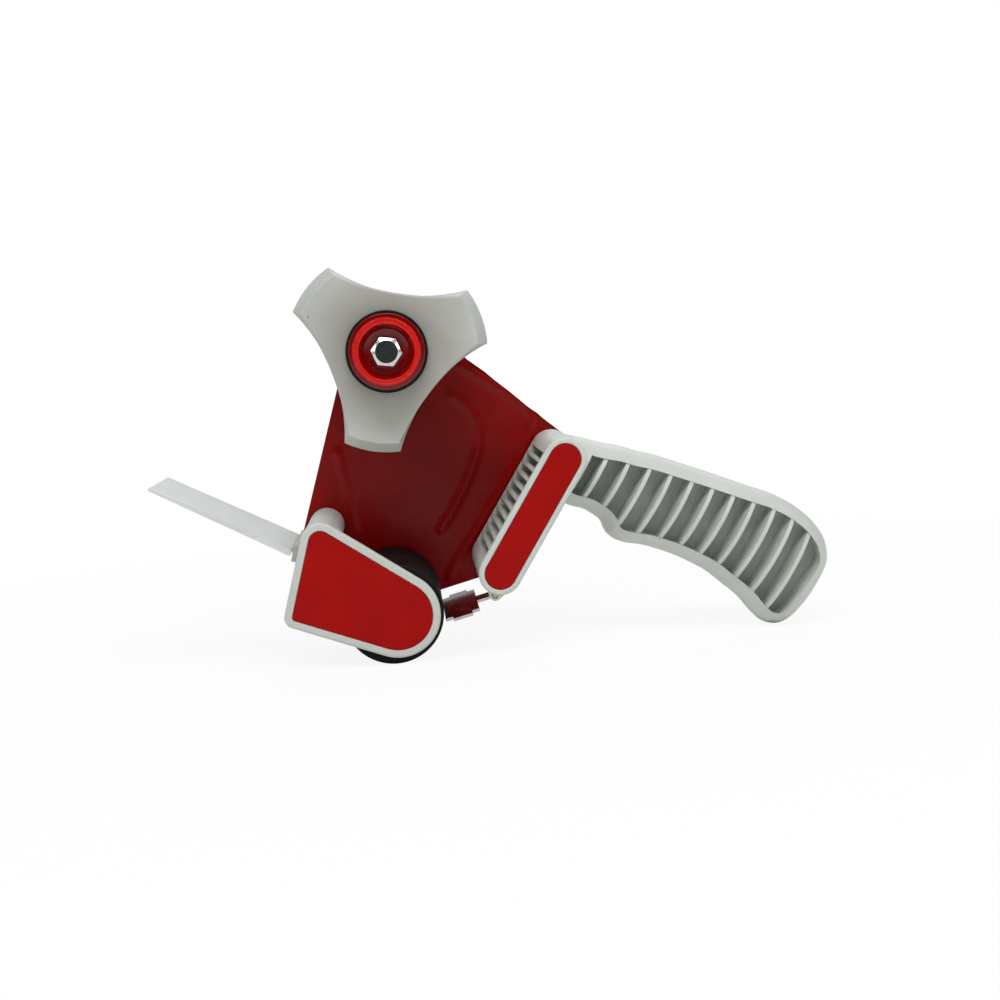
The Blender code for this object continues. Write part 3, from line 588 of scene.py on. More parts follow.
def speckled(nodes, links, base, speck, spacing, low, high):
    """A colour with rare small specks of another."""
    cells = textured(nodes, links, "ShaderNodeTexVoronoi", spacing)
    near = ranged(nodes, links, cells.outputs["Distance"], 1.0, 0.0, low, high)
    mix = nodes.new("ShaderNodeMix")
    mix.data_type = "RGBA"
    links.new(near, mix.inputs["Factor"])
    links.new(base, mix.inputs["A"])
    mix.inputs["B"].default_value = (*speck, 1.0)
    return mix.outputs["Result"]


def enamel(name, colour):
    """Glossy stoved paint on pressed steel, with a faint orange peel and a few specks of dust."""
    made, nodes, links, shader = new_material(name)
    cloud = noise(nodes, links, 0.03, 3.0)
    base = tinted(nodes, links, cloud, shaded(colour, 0.86), shaded(colour, 1.14))
    dusty = speckled(nodes, links, base, (0.42, 0.10, 0.08), 0.009, 0.012, 0.03)
    links.new(dusty, shader.inputs["Base Color"])
    smear = noise(nodes, links, 0.012, 4.0)
    links.new(ranged(nodes, links, smear, 0.24, 0.36), shader.inputs["Roughness"])
    peel = noise(nodes, links, 0.0016, 2.0)
    sag = noise(nodes, links, 0.012, 1.0)
    bumped(nodes, links, shader, [(sag, 0.00012), (peel, 0.000008)])
    shader.inputs["Specular IOR Level"].default_value = 0.2
    return made


def label_stock(name, colour):
    """A satin red label: an even film with rare pale specks and a faint emboss."""
    made, nodes, links, shader = new_material(name)
    cloud = noise(nodes, links, 0.015, 5.0)
    base = tinted(nodes, links, cloud, shaded(colour, 0.93), shaded(colour, 1.07))
    specked = speckled(nodes, links, base, (0.60, 0.12, 0.10), 0.007, 0.018, 0.04)
    links.new(specked, shader.inputs["Base Color"])
    film = noise(nodes, links, 0.0011, 4.0)
    links.new(ranged(nodes, links, film, 0.42, 0.56), shader.inputs["Roughness"])
    bumped(nodes, links, shader, [(cloud, 0.00004), (film, 0.000008)])
    shader.inputs["Specular IOR Level"].default_value = 0.12
    return made


def rubber(name, colour):
    """Ground black rubber with a dusty bloom."""
    made, nodes, links, shader = new_material(name)
    bloom = noise(nodes, links, 0.008, 6.0)
    light = tuple(channel + 0.005 for channel in colour)
    links.new(tinted(nodes, links, bloom, colour, light), shader.inputs["Base Color"])
    fine = noise(nodes, links, 0.00035, 4.0)
    links.new(ranged(nodes, links, bloom, 0.5, 0.66), shader.inputs["Roughness"])
    bumped(nodes, links, shader, [(fine, 0.00002)])
    shader.inputs["Specular IOR Level"].default_value = 0.18
    return made


def metal(name, colour, rough_low, rough_high, stretch=(1.0, 1.0, 1.0), grain=0.0006, height=0.000006):
    """Plated or turned steel; stretch draws the grain out along an axis."""
    made, nodes, links, shader = new_material(name)
    place = nodes.new("ShaderNodeTexCoord")
    scale = nodes.new("ShaderNodeMapping")
    scale.inputs["Scale"].default_value = stretch
    links.new(place.outputs["Object"], scale.inputs["Vector"])
    streak = nodes.new("ShaderNodeTexNoise")
    streak.inputs["Scale"].default_value = 1 / grain
    streak.inputs["Detail"].default_value = 4.0
    links.new(scale.outputs["Vector"], streak.inputs["Vector"])
    stain = noise(nodes, links, 0.006, 4.0)
    tint = tinted(nodes, links, stain, shaded(colour, 0.9), shaded(colour, 1.06))
    links.new(tint, shader.inputs["Base Color"])
    links.new(ranged(nodes, links, streak.outputs["Fac"], rough_low, rough_high), shader.inputs["Roughness"])
    bumped(nodes, links, shader, [(streak.outputs["Fac"], height)])
    shader.inputs["Metallic"].default_value = 1.0
    return made


def painted_shade_round_axle(made):
    """Darken a plastic towards the gun frame's Y axis: painted shade round the knob, darkest at the rubber
    ring's edge.
    """
    nodes, links = made.node_tree.nodes, made.node_tree.links
    shader = nodes["Principled BSDF"]
    base = shader.inputs["Base Color"].links[0].from_socket
    place = nodes.new("ShaderNodeTexCoord")
    flat = nodes.new("ShaderNodeVectorMath")
    flat.operation = "MULTIPLY"
    flat.inputs[1].default_value = (1.0, 0.0, 1.0)
    links.new(place.outputs["Object"], flat.inputs[0])
    length = nodes.new("ShaderNodeVectorMath")
    length.operation = "LENGTH"
    links.new(flat.outputs["Vector"], length.inputs[0])
    # painted shade: the hub's face is darkest at the rubber ring's radius and reaches full colour by the
    # hub's front rim
    away = ranged(nodes, links, length.outputs["Value"], 0.0, 1.0, washer_radius, hub_front_radius)
    shade = tinted(nodes, links, away, (0.70, 0.67, 0.65), (1.0, 1.0, 1.0), 0.0, 1.0)
    mix = nodes.new("ShaderNodeMix")
    mix.data_type = "RGBA"
    mix.blend_type = "MULTIPLY"
    mix.inputs["Factor"].default_value = 1.0
    links.new(base, mix.inputs["A"])
    links.new(shade, mix.inputs["B"])
    links.new(mix.outputs["Result"], shader.inputs["Base Color"])


grey_plastic = plastic("grey_plastic_look", (0.575, 0.590, 0.545), 0.40)
hub_plastic = plastic("hub_plastic_look", (0.500, 0.520, 0.475), 0.42, contrast=0.05)
# painted shade round the knob on the hub's face
painted_shade_round_axle(hub_plastic)
handle_plastic = plastic("handle_plastic_look", (0.595, 0.625, 0.575), 0.36)
dark_grey_plastic = plastic("mount_plastic_look", (0.40, 0.42, 0.38), 0.48)
flap_plastic = plastic("flap_plastic_look", (0.66, 0.685, 0.655), 0.36, grain_height=0.000006)
core_plastic = plastic("core_plastic_look", (0.68, 0.70, 0.68), 0.4)
cream_plastic = plastic("cream_plastic_look", (0.83, 0.80, 0.58), 0.45)
knob_plastic = plastic("knob_plastic_look", (0.62, 0.004, 0.002), 0.24, contrast=0.08)
# a darker red for the knob's dish and flange: painted shade on a knob of one red plastic
knob_painted_shade_plastic = plastic("knob_painted_shade_look", (0.20, 0.001, 0.0006), 0.16, contrast=0.1)
plate_paint = enamel("plate_enamel_look", (0.26, 0.0012, 0.0006))
label_film = label_stock("label_film_look", (0.36, 0.0018, 0.0010))
black_rubber = rubber("black_rubber_look", (0.0022, 0.0025, 0.0023))
zinc = metal("zinc_steel_look", (0.72, 0.73, 0.74), 0.16, 0.32)
turned_steel = metal("turned_steel_look", (0.50, 0.50, 0.49), 0.28, 0.45, stretch=(1.0, 0.15, 1.0))
mirror_steel = metal(
    "mirror_steel_look", (0.50, 0.49, 0.48), 0.10, 0.20, stretch=(1.0, 0.1, 1.0), height=0.000002
)
# a near-black steel for the bolt head's top disc: a painted dark reflection
bolt_face_dark_reflection_steel = metal("bolt_face_dark_reflection_look", (0.075, 0.085, 0.085), 0.22, 0.42, grain=0.0004, height=0.00001)
blade_steel = metal("blade_steel_look", (0.66, 0.67, 0.68), 0.18, 0.34, stretch=(1.0, 0.1, 1.0))


# Pieces


def lobe_outline(rim, waist, rib_height, inset=0.0):
    """Three lobes with small ribs across their rims, joined by concave flanks, all drawn in by inset."""
    gap_half = math.pi / lobe_count - hub_lobe_half_angle
    reach = rim * math.cos(gap_half)
    flank = (rim**2 + waist**2 - 2 * waist * reach) / (2 * (reach - waist))
    far = waist + flank
    rib_pitch = 2 * hub_lobe_half_angle / hub_rib_count
    rim -= inset
    flank += inset
    gap_half = math.acos((far**2 + rim**2 - flank**2) / (2 * far * rim))
    half_angle = math.pi / lobe_count - gap_half
    spread = math.asin(rim * math.sin(gap_half) / flank)
    steps = hub_rim_steps * hub_rib_count
    points = []
    for lobe in range(lobe_count):
        centre = lobe_first_angle + math.tau * lobe / lobe_count
        for i in range(steps + 1):
            offset = half_angle * (2 * i / steps - 1)
            nearest = round(offset / rib_pitch) * rib_pitch
            across = min(abs(offset - nearest) / hub_rib_half_angle, 1.0)
            radius = rim + rib_height * (0.5 + 0.5 * math.cos(math.pi * across))
            points.append((radius * math.cos(centre + offset), radius * math.sin(centre + offset)))
        middle = centre + math.pi / lobe_count
        for i in range(1, hub_flank_steps):
            turn = middle + math.pi + spread * (1 - 2 * i / hub_flank_steps)
            x = far * math.cos(middle) + flank * math.cos(turn)
            z = far * math.sin(middle) + flank * math.sin(turn)
            points.append((x, z))
    return points


def drawn_in(outline, inset):
    """An anticlockwise outline moved in along its normals."""
    if not inset:
        return outline
    moved = []
    for i, (x, z) in enumerate(outline):
        before, after = outline[i - 1], outline[(i + 1) % len(outline)]
        tangent = (Vector(after) - Vector(before)).normalized()
        moved.append((x - tangent.y * inset, z + tangent.x * inset))
    return moved


def build_hub():
    rim_y = hub_front + hub_taper_depth
    back = hub_front + hub_length
    rings = []
    for inset, y in near_round(hub_edge_round, hub_front):
        rings.append(ring(lobe_outline(hub_front_radius, hub_waist_radius, 0.0, inset), y))
    for inset, y in near_round(hub_edge_round / 2, rim_y)[1:]:
        rings.append(ring(lobe_outline(hub_rim_radius, hub_waist_radius, 0.0, inset), y))
    for share in hub_rib_start_shares:
        height = hub_rib_height * share
        y = rim_y + (back - rim_y) * share
        rings.append(ring(lobe_outline(hub_rim_radius, hub_waist_radius, height), y))
    for inset, y in far_round(hub_edge_round / 2, back):
        rings.append(ring(lobe_outline(hub_rim_radius, hub_waist_radius, hub_rib_height, inset), y))
    hub = loft("tape_hub_moulding", rings, hub_plastic)
    bore = [(hub_bore_radius, hub_front - cut_overrun), (hub_bore_radius, back + cut_overrun)]
    combine(hub, turned("bore", bore, 0, 0, None), "DIFFERENCE", "MANIFOLD")
    for lobe in range(lobe_count):
        centre = lobe_first_angle + math.tau * lobe / lobe_count
        half = hub_lobe_half_angle - hub_wall / hub_rim_radius
        inner = arc(0, 0, hub_core_radius, centre + half, centre - half)
        rings = []
        for rim, y in ((hub_front_radius, hub_front + hub_wall), (hub_rim_radius, rim_y + hub_wall)):
            outer = arc(0, 0, rim - hub_wall, centre - half, centre + half)
            rings.append(ring(outer + inner, y))
        rings.append(ring(outer + inner, back + cut_overrun))
        combine(hub, loft("pocket", rings), "DIFFERENCE", "MANIFOLD")
    mark = [(gate_mark_radius, hub_front - cut_overrun), (gate_mark_radius, hub_front + gate_mark_radius)]
    combine(hub, turned("gate", mark, gate_mark_x, gate_mark_z, None, steps=12), "DIFFERENCE", "MANIFOLD")
    even(hub)
    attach(hub, "hub")
    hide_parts("tape_hub")


def knurled(radius, height, steps):
    points = []
    for i in range(steps):
        angle = math.tau * i / steps
        at = radius + height * (abs(math.cos(knob_ridge_count * angle / 2)) * 2 - 1)
        points.append((at * math.cos(angle), at * math.sin(angle)))
    return points


def build_knob():
    flange_near = knob_back - knob_flange_length
    steps = knob_ridge_count * 8
    floor = knob_front + knob_dish_depth
    valley = knob_grip_radius - knob_ridge_height
    rings = []

    def plain(radius, y):
        rings.append(ring(circle(0, 0, radius, steps), y))

    plain(bolt_radius, floor)
    for inset, lift in knob_floor_steps:
        plain(knob_dish_floor_radius - inset, floor - lift)
    for inset, y in lip_round(knob_round / 2, knob_front, 0.0):
        plain(knob_dish_radius - inset, y)
    for inset, y in near_round(knob_round, knob_front):
        height = knob_ridge_height * (1 - inset / knob_round)
        rings.append(ring(knurled(knob_grip_radius - inset, height, steps), y))
    rings.append(ring(knurled(knob_grip_radius, knob_ridge_height, steps), flange_near - knob_ridge_gap))
    plain(valley, flange_near - knob_root_round)
    plain(valley + knob_root_round, flange_near)
    for inset, y in near_round(knob_round / 2, flange_near) + far_round(knob_round / 2, knob_back):
        plain(knob_flange_radius - inset, y)
    plain(knob_pocket_radius, knob_back)
    plain(knob_pocket_radius, knob_back - knob_pocket_depth)
    plain(bolt_radius, knob_back - knob_pocket_depth)
    knob = loft("knob_moulding", rings, knob_plastic, closed=True)
    knob.data.materials.append(knob_painted_shade_plastic)
    # the dish and the flange take the darker red: painted shade
    for face in knob.data.polygons:
        in_dish = face.center.xz.length < knob_dish_radius - knob_round and face.center.y < 0
        if in_dish or face.center.xz.length > knob_grip_radius + knob_ridge_height:
            face.material_index = 1
    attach(knob, "knob")
    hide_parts("knob")


def hex_radius(angle, flats):
    """How far a hexagon reaches at an angle from one of its corners."""
    folded = (angle + math.pi / 6) % (math.pi / 3) - math.pi / 6
    return flats / 2 / math.cos(math.pi / 6 - abs(folded))


def hex_ring(flats, top_radius, y, slope, turn, x=0.0, z=0.0):
    """A hexagon's edge where a cone from the circle top_radius at y meets its flats."""
    points = []
    for i in range(turn_steps):
        angle = math.tau * i / turn_steps
        reach = hex_radius(angle, flats)
        drop = max(0.0, reach - top_radius) * math.tan(math.radians(30)) * slope
        points.append((x + reach * math.cos(angle + turn), y + drop, z + reach * math.sin(angle + turn)))
    return points


def turned_circle(x, z, radius, y, turn=0.0):
    return ring(circle(x, z, radius, turn=turn), y)


def build_bolt():
    near = knob_front + knob_dish_depth - seat_gap - bolt_head_height
    far = near + bolt_head_height
    end = body_depth + plate_thickness + 2 * seat_gap + nut_height + bolt_overhang
    tip = bolt_radius / 4
    rings = [
        turned_circle(0, 0, bolt_top_radius * bolt_dish_share, near + bolt_dish_depth, bolt_head_turn),
        turned_circle(0, 0, bolt_top_radius, near, bolt_head_turn),
        hex_ring(bolt_flats, bolt_top_radius, near, 1.0, bolt_head_turn),
        hex_ring(bolt_flats, bolt_top_radius, far, 0.0, bolt_head_turn),
        turned_circle(0, 0, bolt_radius, far, bolt_head_turn),
        turned_circle(0, 0, bolt_radius, end - tip, bolt_head_turn),
        turned_circle(0, 0, bolt_radius - tip, end, bolt_head_turn),
    ]
    bolt = loft("knob_hex_bolt", rings, zinc)
    bolt.data.materials.append(bolt_face_dark_reflection_steel)
    # the head's top disc takes the near-black steel: a painted dark reflection
    for face in bolt.data.polygons:
        if face.center.y < near + bolt_face_depth and face.center.xz.length < bolt_top_radius:
            face.material_index = 1
    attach(bolt, "knob")
    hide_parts("knob_bolt")


def build_nut(name, node, flats, near, height, bore, x, z):
    far = near + height
    top = flats / 2 * nut_top_share
    rings = [
        turned_circle(x, z, bore, near),
        turned_circle(x, z, top, near),
        hex_ring(flats, top, near, 1.0, 0.0, x, z),
        hex_ring(flats, top, far, -1.0, 0.0, x, z),
        turned_circle(x, z, top, far),
        turned_circle(x, z, bore + nut_chamfer, far),
        turned_circle(x, z, bore, far - nut_chamfer),
    ]
    nut = loft(name, rings, zinc, closed=True)
    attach(nut, "frame")
    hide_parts(node)


def build_washer():
    far = washer_face + washer_thickness
    washer = rubber_tube("friction_ring", washer_face, far, washer_radius, washer_bore, washer_round, 0, 0)
    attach(washer, "frame")
    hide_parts("friction_washer")


def build_roller():
    far = roller_front + roller_length
    bore = roller_radius - rubber_thickness
    sleeve = rubber_tube(
        "roller_sleeve", roller_front, far, roller_radius, bore, rubber_round, roller_x, roller_z
    )
    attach(sleeve, "roller")
    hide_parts("roller_rubber")


def cover_circles():
    return [
        (shoulder_x, shoulder_z, shoulder_radius),
        (toe_x, toe_z, toe_radius),
        (nose_x, nose_z, nose_radius),
    ]


def rimmed_steps(far, far_radius, rim=rim_width):
    """Steps of a rimmed plate with a recess in its near face, from the recess floor to the far edge."""
    steps = [(rim + recess_corner, recess_depth)]
    steps.append((rim + recess_corner_step, recess_depth - recess_corner_step))
    steps += lip_round(rim_inner_round, 0.0, rim)
    steps += near_round(rim_outer_round, 0.0)
    return steps + far_round(far_radius, far)


def build_housing():
    circles = cover_circles()
    steps = rimmed_steps(skin_thickness, cover_far_round)
    cover = stack("front_housing_moulding", circles, steps, grey_plastic)
    wall_steps = [(0.0, skin_thickness - wall_overlap)] + far_round(wall_round, body_depth - seat_gap)
    wall = stack("wall", grown(circles[:2], -wall_inset), wall_steps)
    combine(cover, wall, "UNION", "MANIFOLD")
    even(cover)
    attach(cover, "frame")
    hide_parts("front_housing")
    build_label("cover_label_film", "cover_label", circles)


def build_label(name, node, circles, rim=rim_width):
    inset = rim + label_gap
    steps = near_round(label_round, label_near, inset)
    steps += far_round(label_round, label_near + label_thickness, inset)
    label = stack(name, circles, steps, label_film)
    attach(label, "frame")
    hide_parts(node)


def bracket_directions():
    up = Vector((math.sin(bracket_lean), math.cos(bracket_lean)))
    return up, Vector((up.y, -up.x))


def bracket_point(along, out=0.0):
    up, across = bracket_directions()
    return Vector((bracket_x, bracket_z)) + up * along + across * out


def grip_rows():
    rows = [(a * grip_length, b * grip_reach, c * grip_reach, d) for a, b, c, d in grip_station_shares]
    return level_through(rows, grip_steps_per_span)


def grip_blank(name, rows, depth_share=1.0):
    rings = []
    for out, low, high, depth in rows:
        points = []
        for i in range(grip_section_points):
            turn = math.tau * i / grip_section_points
            along = (low + high) / 2 - (high - low) / 2 * math.cos(turn)
            at = bracket_point(along, out)
            reach = depth * grip_half_depth * depth_share * math.sin(turn)
            points.append((at.x, body_depth / 2 + reach, at.y))
        rings.append(points)
    return loft(name, rings)


def grip_silhouette(rows):
    """The grip's outline in the bracket's own directions (out, along), anticlockwise."""
    lower = [(out, low) for out, low, _, _ in rows]
    upper = [(out, high) for out, _, high, _ in reversed(rows)]
    return lower + upper


def window_outline(rows):
    """The mouth of the ribbed window: the silhouette drawn in, without the points that crowd a corner."""
    outline = grip_silhouette(rows)
    start = bracket_radius + window_start_wall
    edge = [Vector(point) for point in outline]
    kept = []
    for point in drawn_in(outline, window_wall):
        nearest = min((Vector(point) - other).length for other in edge)
        if point[0] > start and nearest > window_wall * window_crowd_share:
            kept.append(point)
    first, last = kept[0], kept[-1]
    return [(start, first[1])] + kept + [(start, last[1])]


def prism_between(name, outline, near, far):
    return loft(name, [ring(outline, near), ring(outline, far)])


def bracket_circles():
    top, foot = bracket_point(bracket_length), bracket_point(0.0)
    return [(foot.x, foot.y, bracket_radius), (top.x, top.y, bracket_radius)]


def build_bracket_slots(far):
    """The narrow pockets between the thin ribs on the bracket's roller side, in one mesh."""
    shape = bmesh.new()
    _, across = bracket_directions()
    near_end, far_end = slot_end_wall, far - slot_end_wall
    size = (slot_depth + cut_overrun, far_end - near_end, slot_width)
    out = slot_depth - bracket_radius - size[0] / 2
    for i in range(slot_count):
        at = bracket_point(slot_first + slot_pitch * i, out)
        matrix = frame_at(at.x, (near_end + far_end) / 2, at.y, (across.x, 0, across.y), (0, 1, 0))
        add_slab(shape, size, matrix)
    return put("slots", shape, smooth=False)


def build_hand_ribs():
    """Slabs across the grip, in one mesh, to be trimmed to the grip's own section."""
    shape = bmesh.new()
    _, across = bracket_directions()
    end = grip_length - window_end_wall
    first = bracket_radius + window_start_wall + hand_rib_start_gap
    for i in range(hand_rib_count):
        at = bracket_point(grip_reach * hand_rib_middle_share, first + (end - first) * i / hand_rib_count)
        matrix = frame_at(at.x, body_depth / 2, at.y, (across.x, 0, across.y), (0, 1, 0))
        add_slab(shape, (hand_rib_thickness, body_depth, grip_reach), matrix)
    return put("hand_ribs", shape, smooth=False)


def build_handle():
    far = body_depth - seat_gap
    circles = bracket_circles()
    rim = bracket_radius - bracket_label_radius
    handle = stack("handle_moulding", circles, rimmed_steps(far, wall_round, rim), handle_plastic)
    combine(handle, build_bracket_slots(far), "DIFFERENCE", "MANIFOLD")
    rows = grip_rows()
    combine(handle, grip_blank("grip", rows), "UNION", "MANIFOLD")
    outline = [tuple(bracket_point(along, out)) for out, along in window_outline(rows)]
    web = web_thickness / 2
    middle = body_depth / 2
    reach = grip_half_depth + cut_overrun
    for near_y, far_y in ((middle - reach, middle - web), (middle + web, middle + reach)):
        combine(handle, prism_between("window", outline, near_y, far_y), "DIFFERENCE", "MANIFOLD")
    ribs = grip_blank("rib_blank", rows, hand_rib_drop_share)
    combine(ribs, build_hand_ribs(), "INTERSECT", "MANIFOLD")
    combine(handle, ribs, "UNION", "MANIFOLD")
    soften(handle, moulded_edge)
    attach(handle, "frame")
    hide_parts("handle")
    build_label("bracket_label_film", "bracket_label", circles, rim)


def plate_circles():
    top, foot = bracket_point(bracket_length), bracket_point(0.0)
    return [
        (0.0, 0.0, plate_hub_radius),
        (plate_toe_x, plate_toe_z, plate_toe_radius),
        (foot.x, foot.y, bracket_radius),
        (top.x, top.y, bracket_radius),
    ]


def bead_routes():
    routes = []
    for width, height, shares in (
        (bead_outer_x, bead_outer_z, bead_outer_shares),
        (bead_inner_x, bead_inner_z, bead_inner_shares),
        (bead_left_x, bead_left_z, bead_left_shares),
    ):
        points = curve_through([(a * width, b * height) for a, b in shares], 12)
        routes.append(evenly(points, bead_step))
    return routes


def evenly(points, step):
    """Points along a polyline at even distances."""
    made = [points[0]]
    left = step
    for a, b in zip(points, points[1:]):
        length = (b - a).length
        at = left
        while at <= length:
            made.append(a.lerp(b, at / length))
            at += step
        left = at - length
    return made


def bead_rise(point, routes):
    """How far the pressing stands towards the near side at a point."""
    nearest = min((point - other).length for route in routes for other in route)
    share = min(nearest / bead_half_width, 1.0)
    return bead_height * (0.5 + 0.5 * math.cos(math.pi * share))


def build_plate():
    circles = plate_circles()
    outline = [Vector(point) for point in tangent_hull(circles)]
    inner = [Vector(point) for point in tangent_hull(grown(circles, -plate_edge_round))]
    routes = bead_routes()
    points = list(outline) + list(inner)
    count = len(outline)
    edges = [(i, (i + 1) % count) for i in range(count)]
    edges += [(count + i, count + (i + 1) % count) for i in range(count)]
    hull_inside = tangent_hull(grown(circles, -plate_grid / 2))
    for route in routes:
        for i, at in enumerate(route):
            ahead = route[min(i + 1, len(route) - 1)] - route[max(i - 1, 0)]
            side = Vector((-ahead.y, ahead.x)).normalized()
            points += [at + side * share * bead_half_width for share in bead_rail_shares]
        for end, inward in ((route[0], route[1]), (route[-1], route[-2])):
            away = (end - inward).normalized()
            for share in bead_end_shares:
                for turn in bead_end_turns:
                    c, s = math.cos(math.radians(turn)), math.sin(math.radians(turn))
                    way = Vector((away.x * c - away.y * s, away.x * s + away.y * c))
                    points.append(end + way * share * bead_half_width)
    low_x = min(point.x for point in outline)
    high_x = max(point.x for point in outline)
    low_z = min(point.y for point in outline)
    high_z = max(point.y for point in outline)
    for i in range(math.ceil((high_x - low_x) / plate_grid)):
        for j in range(math.ceil((high_z - low_z) / plate_grid)):
            at = Vector((low_x + i * plate_grid, low_z + j * plate_grid))
            clear = min((at - other).length for route in routes for other in route)
            if clear > bead_half_width * bead_clear_share and inside(at, hull_inside):
                points.append(at)
    found = geometry.delaunay_2d_cdt(points, edges, [list(range(count))], 1, weld_distance)
    shape = bmesh.new()
    rim = {tuple(round(value, 6) for value in point) for point in outline}
    verts = []
    for point in found[0]:
        on_rim = tuple(round(value, 6) for value in point) in rim
        y = body_depth - bead_rise(point, routes) + (plate_edge_round if on_rim else 0.0)
        verts.append(shape.verts.new((point.x, y, point.y)))
    for triangle in found[2]:
        shape.faces.new([verts[i] for i in triangle])
    plate = put("side_plate_pressing", shape, plate_paint)
    far_side = plate.modifiers.new("thickness", "SOLIDIFY")
    far_side.thickness = plate_thickness
    far_side.offset = -1.0
    settle(plate)
    if min(v.co.y for v in plate.data.vertices) < body_depth - bead_height - plate_thickness / 2:
        # the faces turned so that the thickness went to the near side
        for vertex in plate.data.vertices:
            vertex.co.y += plate_thickness
    even(plate)
    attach(plate, "frame")
    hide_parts("side_plate")


def inside(point, outline):
    """Whether a point lies inside an outline."""
    found = False
    for i, (x, z) in enumerate(outline):
        before_x, before_z = outline[i - 1]
        if (z > point.y) != (before_z > point.y):
            if point.x < (before_x - x) * (point.y - z) / (before_z - z) + x:
                found = not found
    return found


def build_pan_screw(name, node, x, z, near, end):
    """A pan-headed screw with a cross recess, its head on the far side."""
    top = near + screw_head_height
    profile = [(screw_radius, end), (screw_radius, near), (screw_head_radius, near)]
    profile += [(screw_head_radius * a, near + screw_head_height * b) for a, b in screw_crown_shares]
    profile.append((screw_head_radius * screw_top_share, top))
    screw = turned(name, profile, x, z, zinc, steps=40)
    for size in ((cross_length, cross_depth * 2, cross_width), (cross_width, cross_depth * 2, cross_length)):
        combine(screw, box("cross", size, Matrix.Translation((x, top, z))), "DIFFERENCE", "MANIFOLD")
    even(screw)
    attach(screw, "frame")
    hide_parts(node)


def node_centre(node):
    """The middle of a node's box, in the gun frame."""
    low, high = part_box(node)
    return gun.inverted() @ ((low + high) / 2)


def dress(node, material, width):
    """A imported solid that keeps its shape: its own material, and slightly rounded edges."""
    solid = frame["nodes"][node]
    solid.data.materials.clear()
    solid.data.materials.append(material)
    if width:
        weld = solid.modifiers.new("weld", "WELD")
        weld.merge_threshold = weld_distance
        bevelled(solid, width, 2, math.radians(45))
    weights = solid.modifiers.new("even shading", "WEIGHTED_NORMAL")
    weights.keep_sharp = True


def build_small_pieces():
    head_near = body_depth + plate_thickness + seat_gap
    for name in ("housing_screw_upper", "housing_screw_lower", "bracket_screw_upper", "bracket_screw_lower"):
        at = node_centre(name)
        build_pan_screw(name + "_pan_head", name, at.x, at.z, head_near, body_depth - screw_depth)
    nut_near = body_depth + plate_thickness + 2 * seat_gap
    build_nut("axle_hex_nut", "axle_nut", bolt_flats, nut_near, nut_height, bolt_radius + seat_gap, 0.0, 0.0)
    build_nut("roller_hex_nut", "roller_axle_nut", axle_nut_flats, head_near, axle_nut_height,
              roller_axle_radius + seat_gap, roller_x, roller_z)
    for node, material, edge in (
        ("wiper_flap", flap_plastic, 0.00025),
        ("flap_mount", dark_grey_plastic, 0.0003),
        ("retainer_plate", mirror_steel, 0.00012),
        ("retainer_block", cream_plastic, 0.0003),
        ("retainer_pin", turned_steel, 0.0001),
        ("blade", blade_steel, 0.0001),
        ("blade_screw_near", zinc, 0.0002),
        ("blade_screw_far", zinc, 0.0002),
        ("roller_core", core_plastic, 0.0003),
        ("roller_axle", turned_steel, 0.0003),
        ("roller_spacer", turned_steel, 0.0002),
        ("axle_sleeve", turned_steel, 0.0002),
        ("thrust_washer", turned_steel, 0.0002),
        ("brake_spring", zinc, 0.0),
    ):
        dress(node, material, edge)


# Stage


def mixed(nodes, links, factor, first, second, surface):
    mix = nodes.new("ShaderNodeMixShader")
    for value, socket in zip((factor, first, second), mix.inputs):
        links.new(value, socket)
    links.new(mix.outputs["Shader"], surface)


def build_floor():
    """A pale floor that the camera sees as white, but for the object's soft shadow near it."""
    mesh = bpy.data.meshes.new("floor")
    shape = bmesh.new()
    bmesh.ops.create_grid(shape, x_segments=1, y_segments=1, size=floor_size / 2)
    shape.to_mesh(mesh)
    shape.free()
    floor = bpy.data.objects.new("floor", mesh)
    bpy.context.scene.collection.objects.link(floor)
    made, nodes, links, shader = new_material("pale_floor")
    shader.inputs["Base Color"].default_value = (0.86, 0.86, 0.85, 1.0)
    shader.inputs["Roughness"].default_value = 0.8
    shader.inputs["Specular IOR Level"].default_value = 0.0
    path = nodes.new("ShaderNodeLightPath")
    seen = nodes.new("ShaderNodeMath")
    seen.operation = "MAXIMUM"
    links.new(path.outputs["Is Camera Ray"], seen.inputs[0])
    links.new(path.outputs["Is Transmission Ray"], seen.inputs[1])
    place = nodes.new("ShaderNodeTexCoord")
    length = nodes.new("ShaderNodeVectorMath")
    length.operation = "LENGTH"
    links.new(place.outputs["Object"], length.inputs[0])
    away = length.outputs["Value"]
    white = ranged(nodes, links, away, floor_white_share, 1.0, floor_clear_from, floor_clear_to)
    share = nodes.new("ShaderNodeMath")
    share.operation = "MULTIPLY"
    links.new(seen.outputs["Value"], share.inputs[0])
    links.new(white, share.inputs[1])
    glow = nodes.new("ShaderNodeEmission")
    glow.inputs["Color"].default_value = (1.0, 1.0, 1.0, 1.0)
    glow.inputs["Strength"].default_value = 1.0
    surface = nodes["Material Output"].inputs["Surface"]
    mixed(nodes, links, share.outputs["Value"], shader.outputs["BSDF"], glow.outputs["Emission"], surface)
    floor.data.materials.append(made)


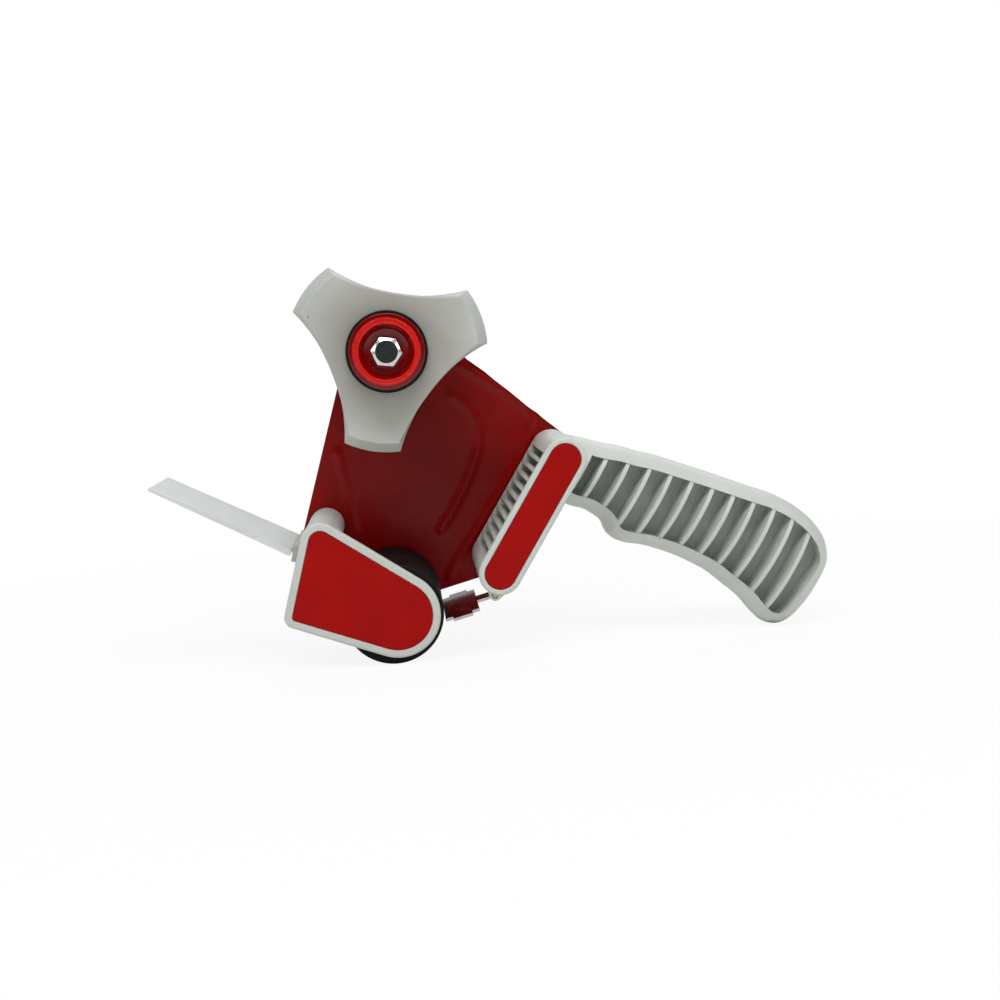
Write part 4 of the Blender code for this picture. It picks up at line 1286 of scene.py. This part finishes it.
def build_world():
    """A studio that is pale overhead and behind the object, and dim in front, so that gloss stays deep."""
    world = bpy.data.worlds.new("studio")
    bpy.context.scene.world = world
    world.use_nodes = True
    nodes, links = world.node_tree.nodes, world.node_tree.links
    way = nodes.new("ShaderNodeTexCoord")
    parts = nodes.new("ShaderNodeSeparateXYZ")
    links.new(way.outputs["Generated"], parts.inputs["Vector"])
    top = ranged(nodes, links, parts.outputs["Z"], 0.0, world_top, 0.1, 0.9)
    behind = ranged(nodes, links, parts.outputs["Y"], world_front, world_back, -0.5, 0.8)
    total = nodes.new("ShaderNodeMath")
    links.new(top, total.inputs[0])
    links.new(behind, total.inputs[1])
    room = nodes["Background"]
    room.inputs["Color"].default_value = (0.95, 0.97, 1.0, 1.0)
    links.new(total.outputs["Value"], room.inputs["Strength"])
    white = nodes.new("ShaderNodeBackground")
    white.inputs["Color"].default_value = (1.0, 1.0, 1.0, 1.0)
    path = nodes.new("ShaderNodeLightPath")
    seen, surface = path.outputs["Is Camera Ray"], nodes["World Output"].inputs["Surface"]
    mixed(nodes, links, seen, room.outputs["Background"], white.outputs["Background"], surface)


def softbox(name, place, target, width, height, power, colour=(1.0, 1.0, 1.0)):
    light = bpy.data.lights.new(name, "AREA")
    light.shape = "RECTANGLE"
    light.size = width
    light.size_y = height
    light.energy = power
    light.color = colour
    made = bpy.data.objects.new(name, light)
    bpy.context.scene.collection.objects.link(made)
    made.location = place
    made.rotation_mode = "QUATERNION"
    made.rotation_quaternion = (Vector(target) - Vector(place)).to_track_quat("-Z", "Y")


def build_lights():
    target = (0.0, 0.0, 0.08)
    softbox("overhead", (-0.05, -0.60, 1.05), target, 0.9, 0.5, 8.0)
    softbox("front_left", (-0.95, -0.55, 0.45), target, 0.4, 0.5, 1.6)
    softbox("front_right", (0.95, -0.65, 0.55), target, 0.4, 0.5, 2.4)
    softbox("behind", (0.2, 0.8, 0.6), target, 0.8, 0.5, 1.2)


def build_camera():
    camera = bpy.data.objects.new("camera", bpy.data.cameras.new("camera"))
    bpy.context.scene.collection.objects.link(camera)
    camera.data.lens = camera_lens
    camera.data.sensor_width = sensor_width
    level = math.cos(camera_pitch)
    forward = Vector((math.sin(camera_yaw) * level, math.cos(camera_yaw) * level, math.sin(camera_pitch)))
    turn = forward.to_track_quat("-Z", "Y").to_matrix().to_4x4()
    camera.matrix_world = gun @ Matrix.Translation((camera_x, camera_y, camera_z)) @ turn
    bpy.context.scene.camera = camera


bpy.context.scene.view_settings.view_transform = "Standard"
build_camera()
build_world()
build_floor()
build_lights()
build_plate()
build_hub()
build_knob()
build_bolt()
build_washer()
build_roller()
build_housing()
build_handle()
build_small_pieces()
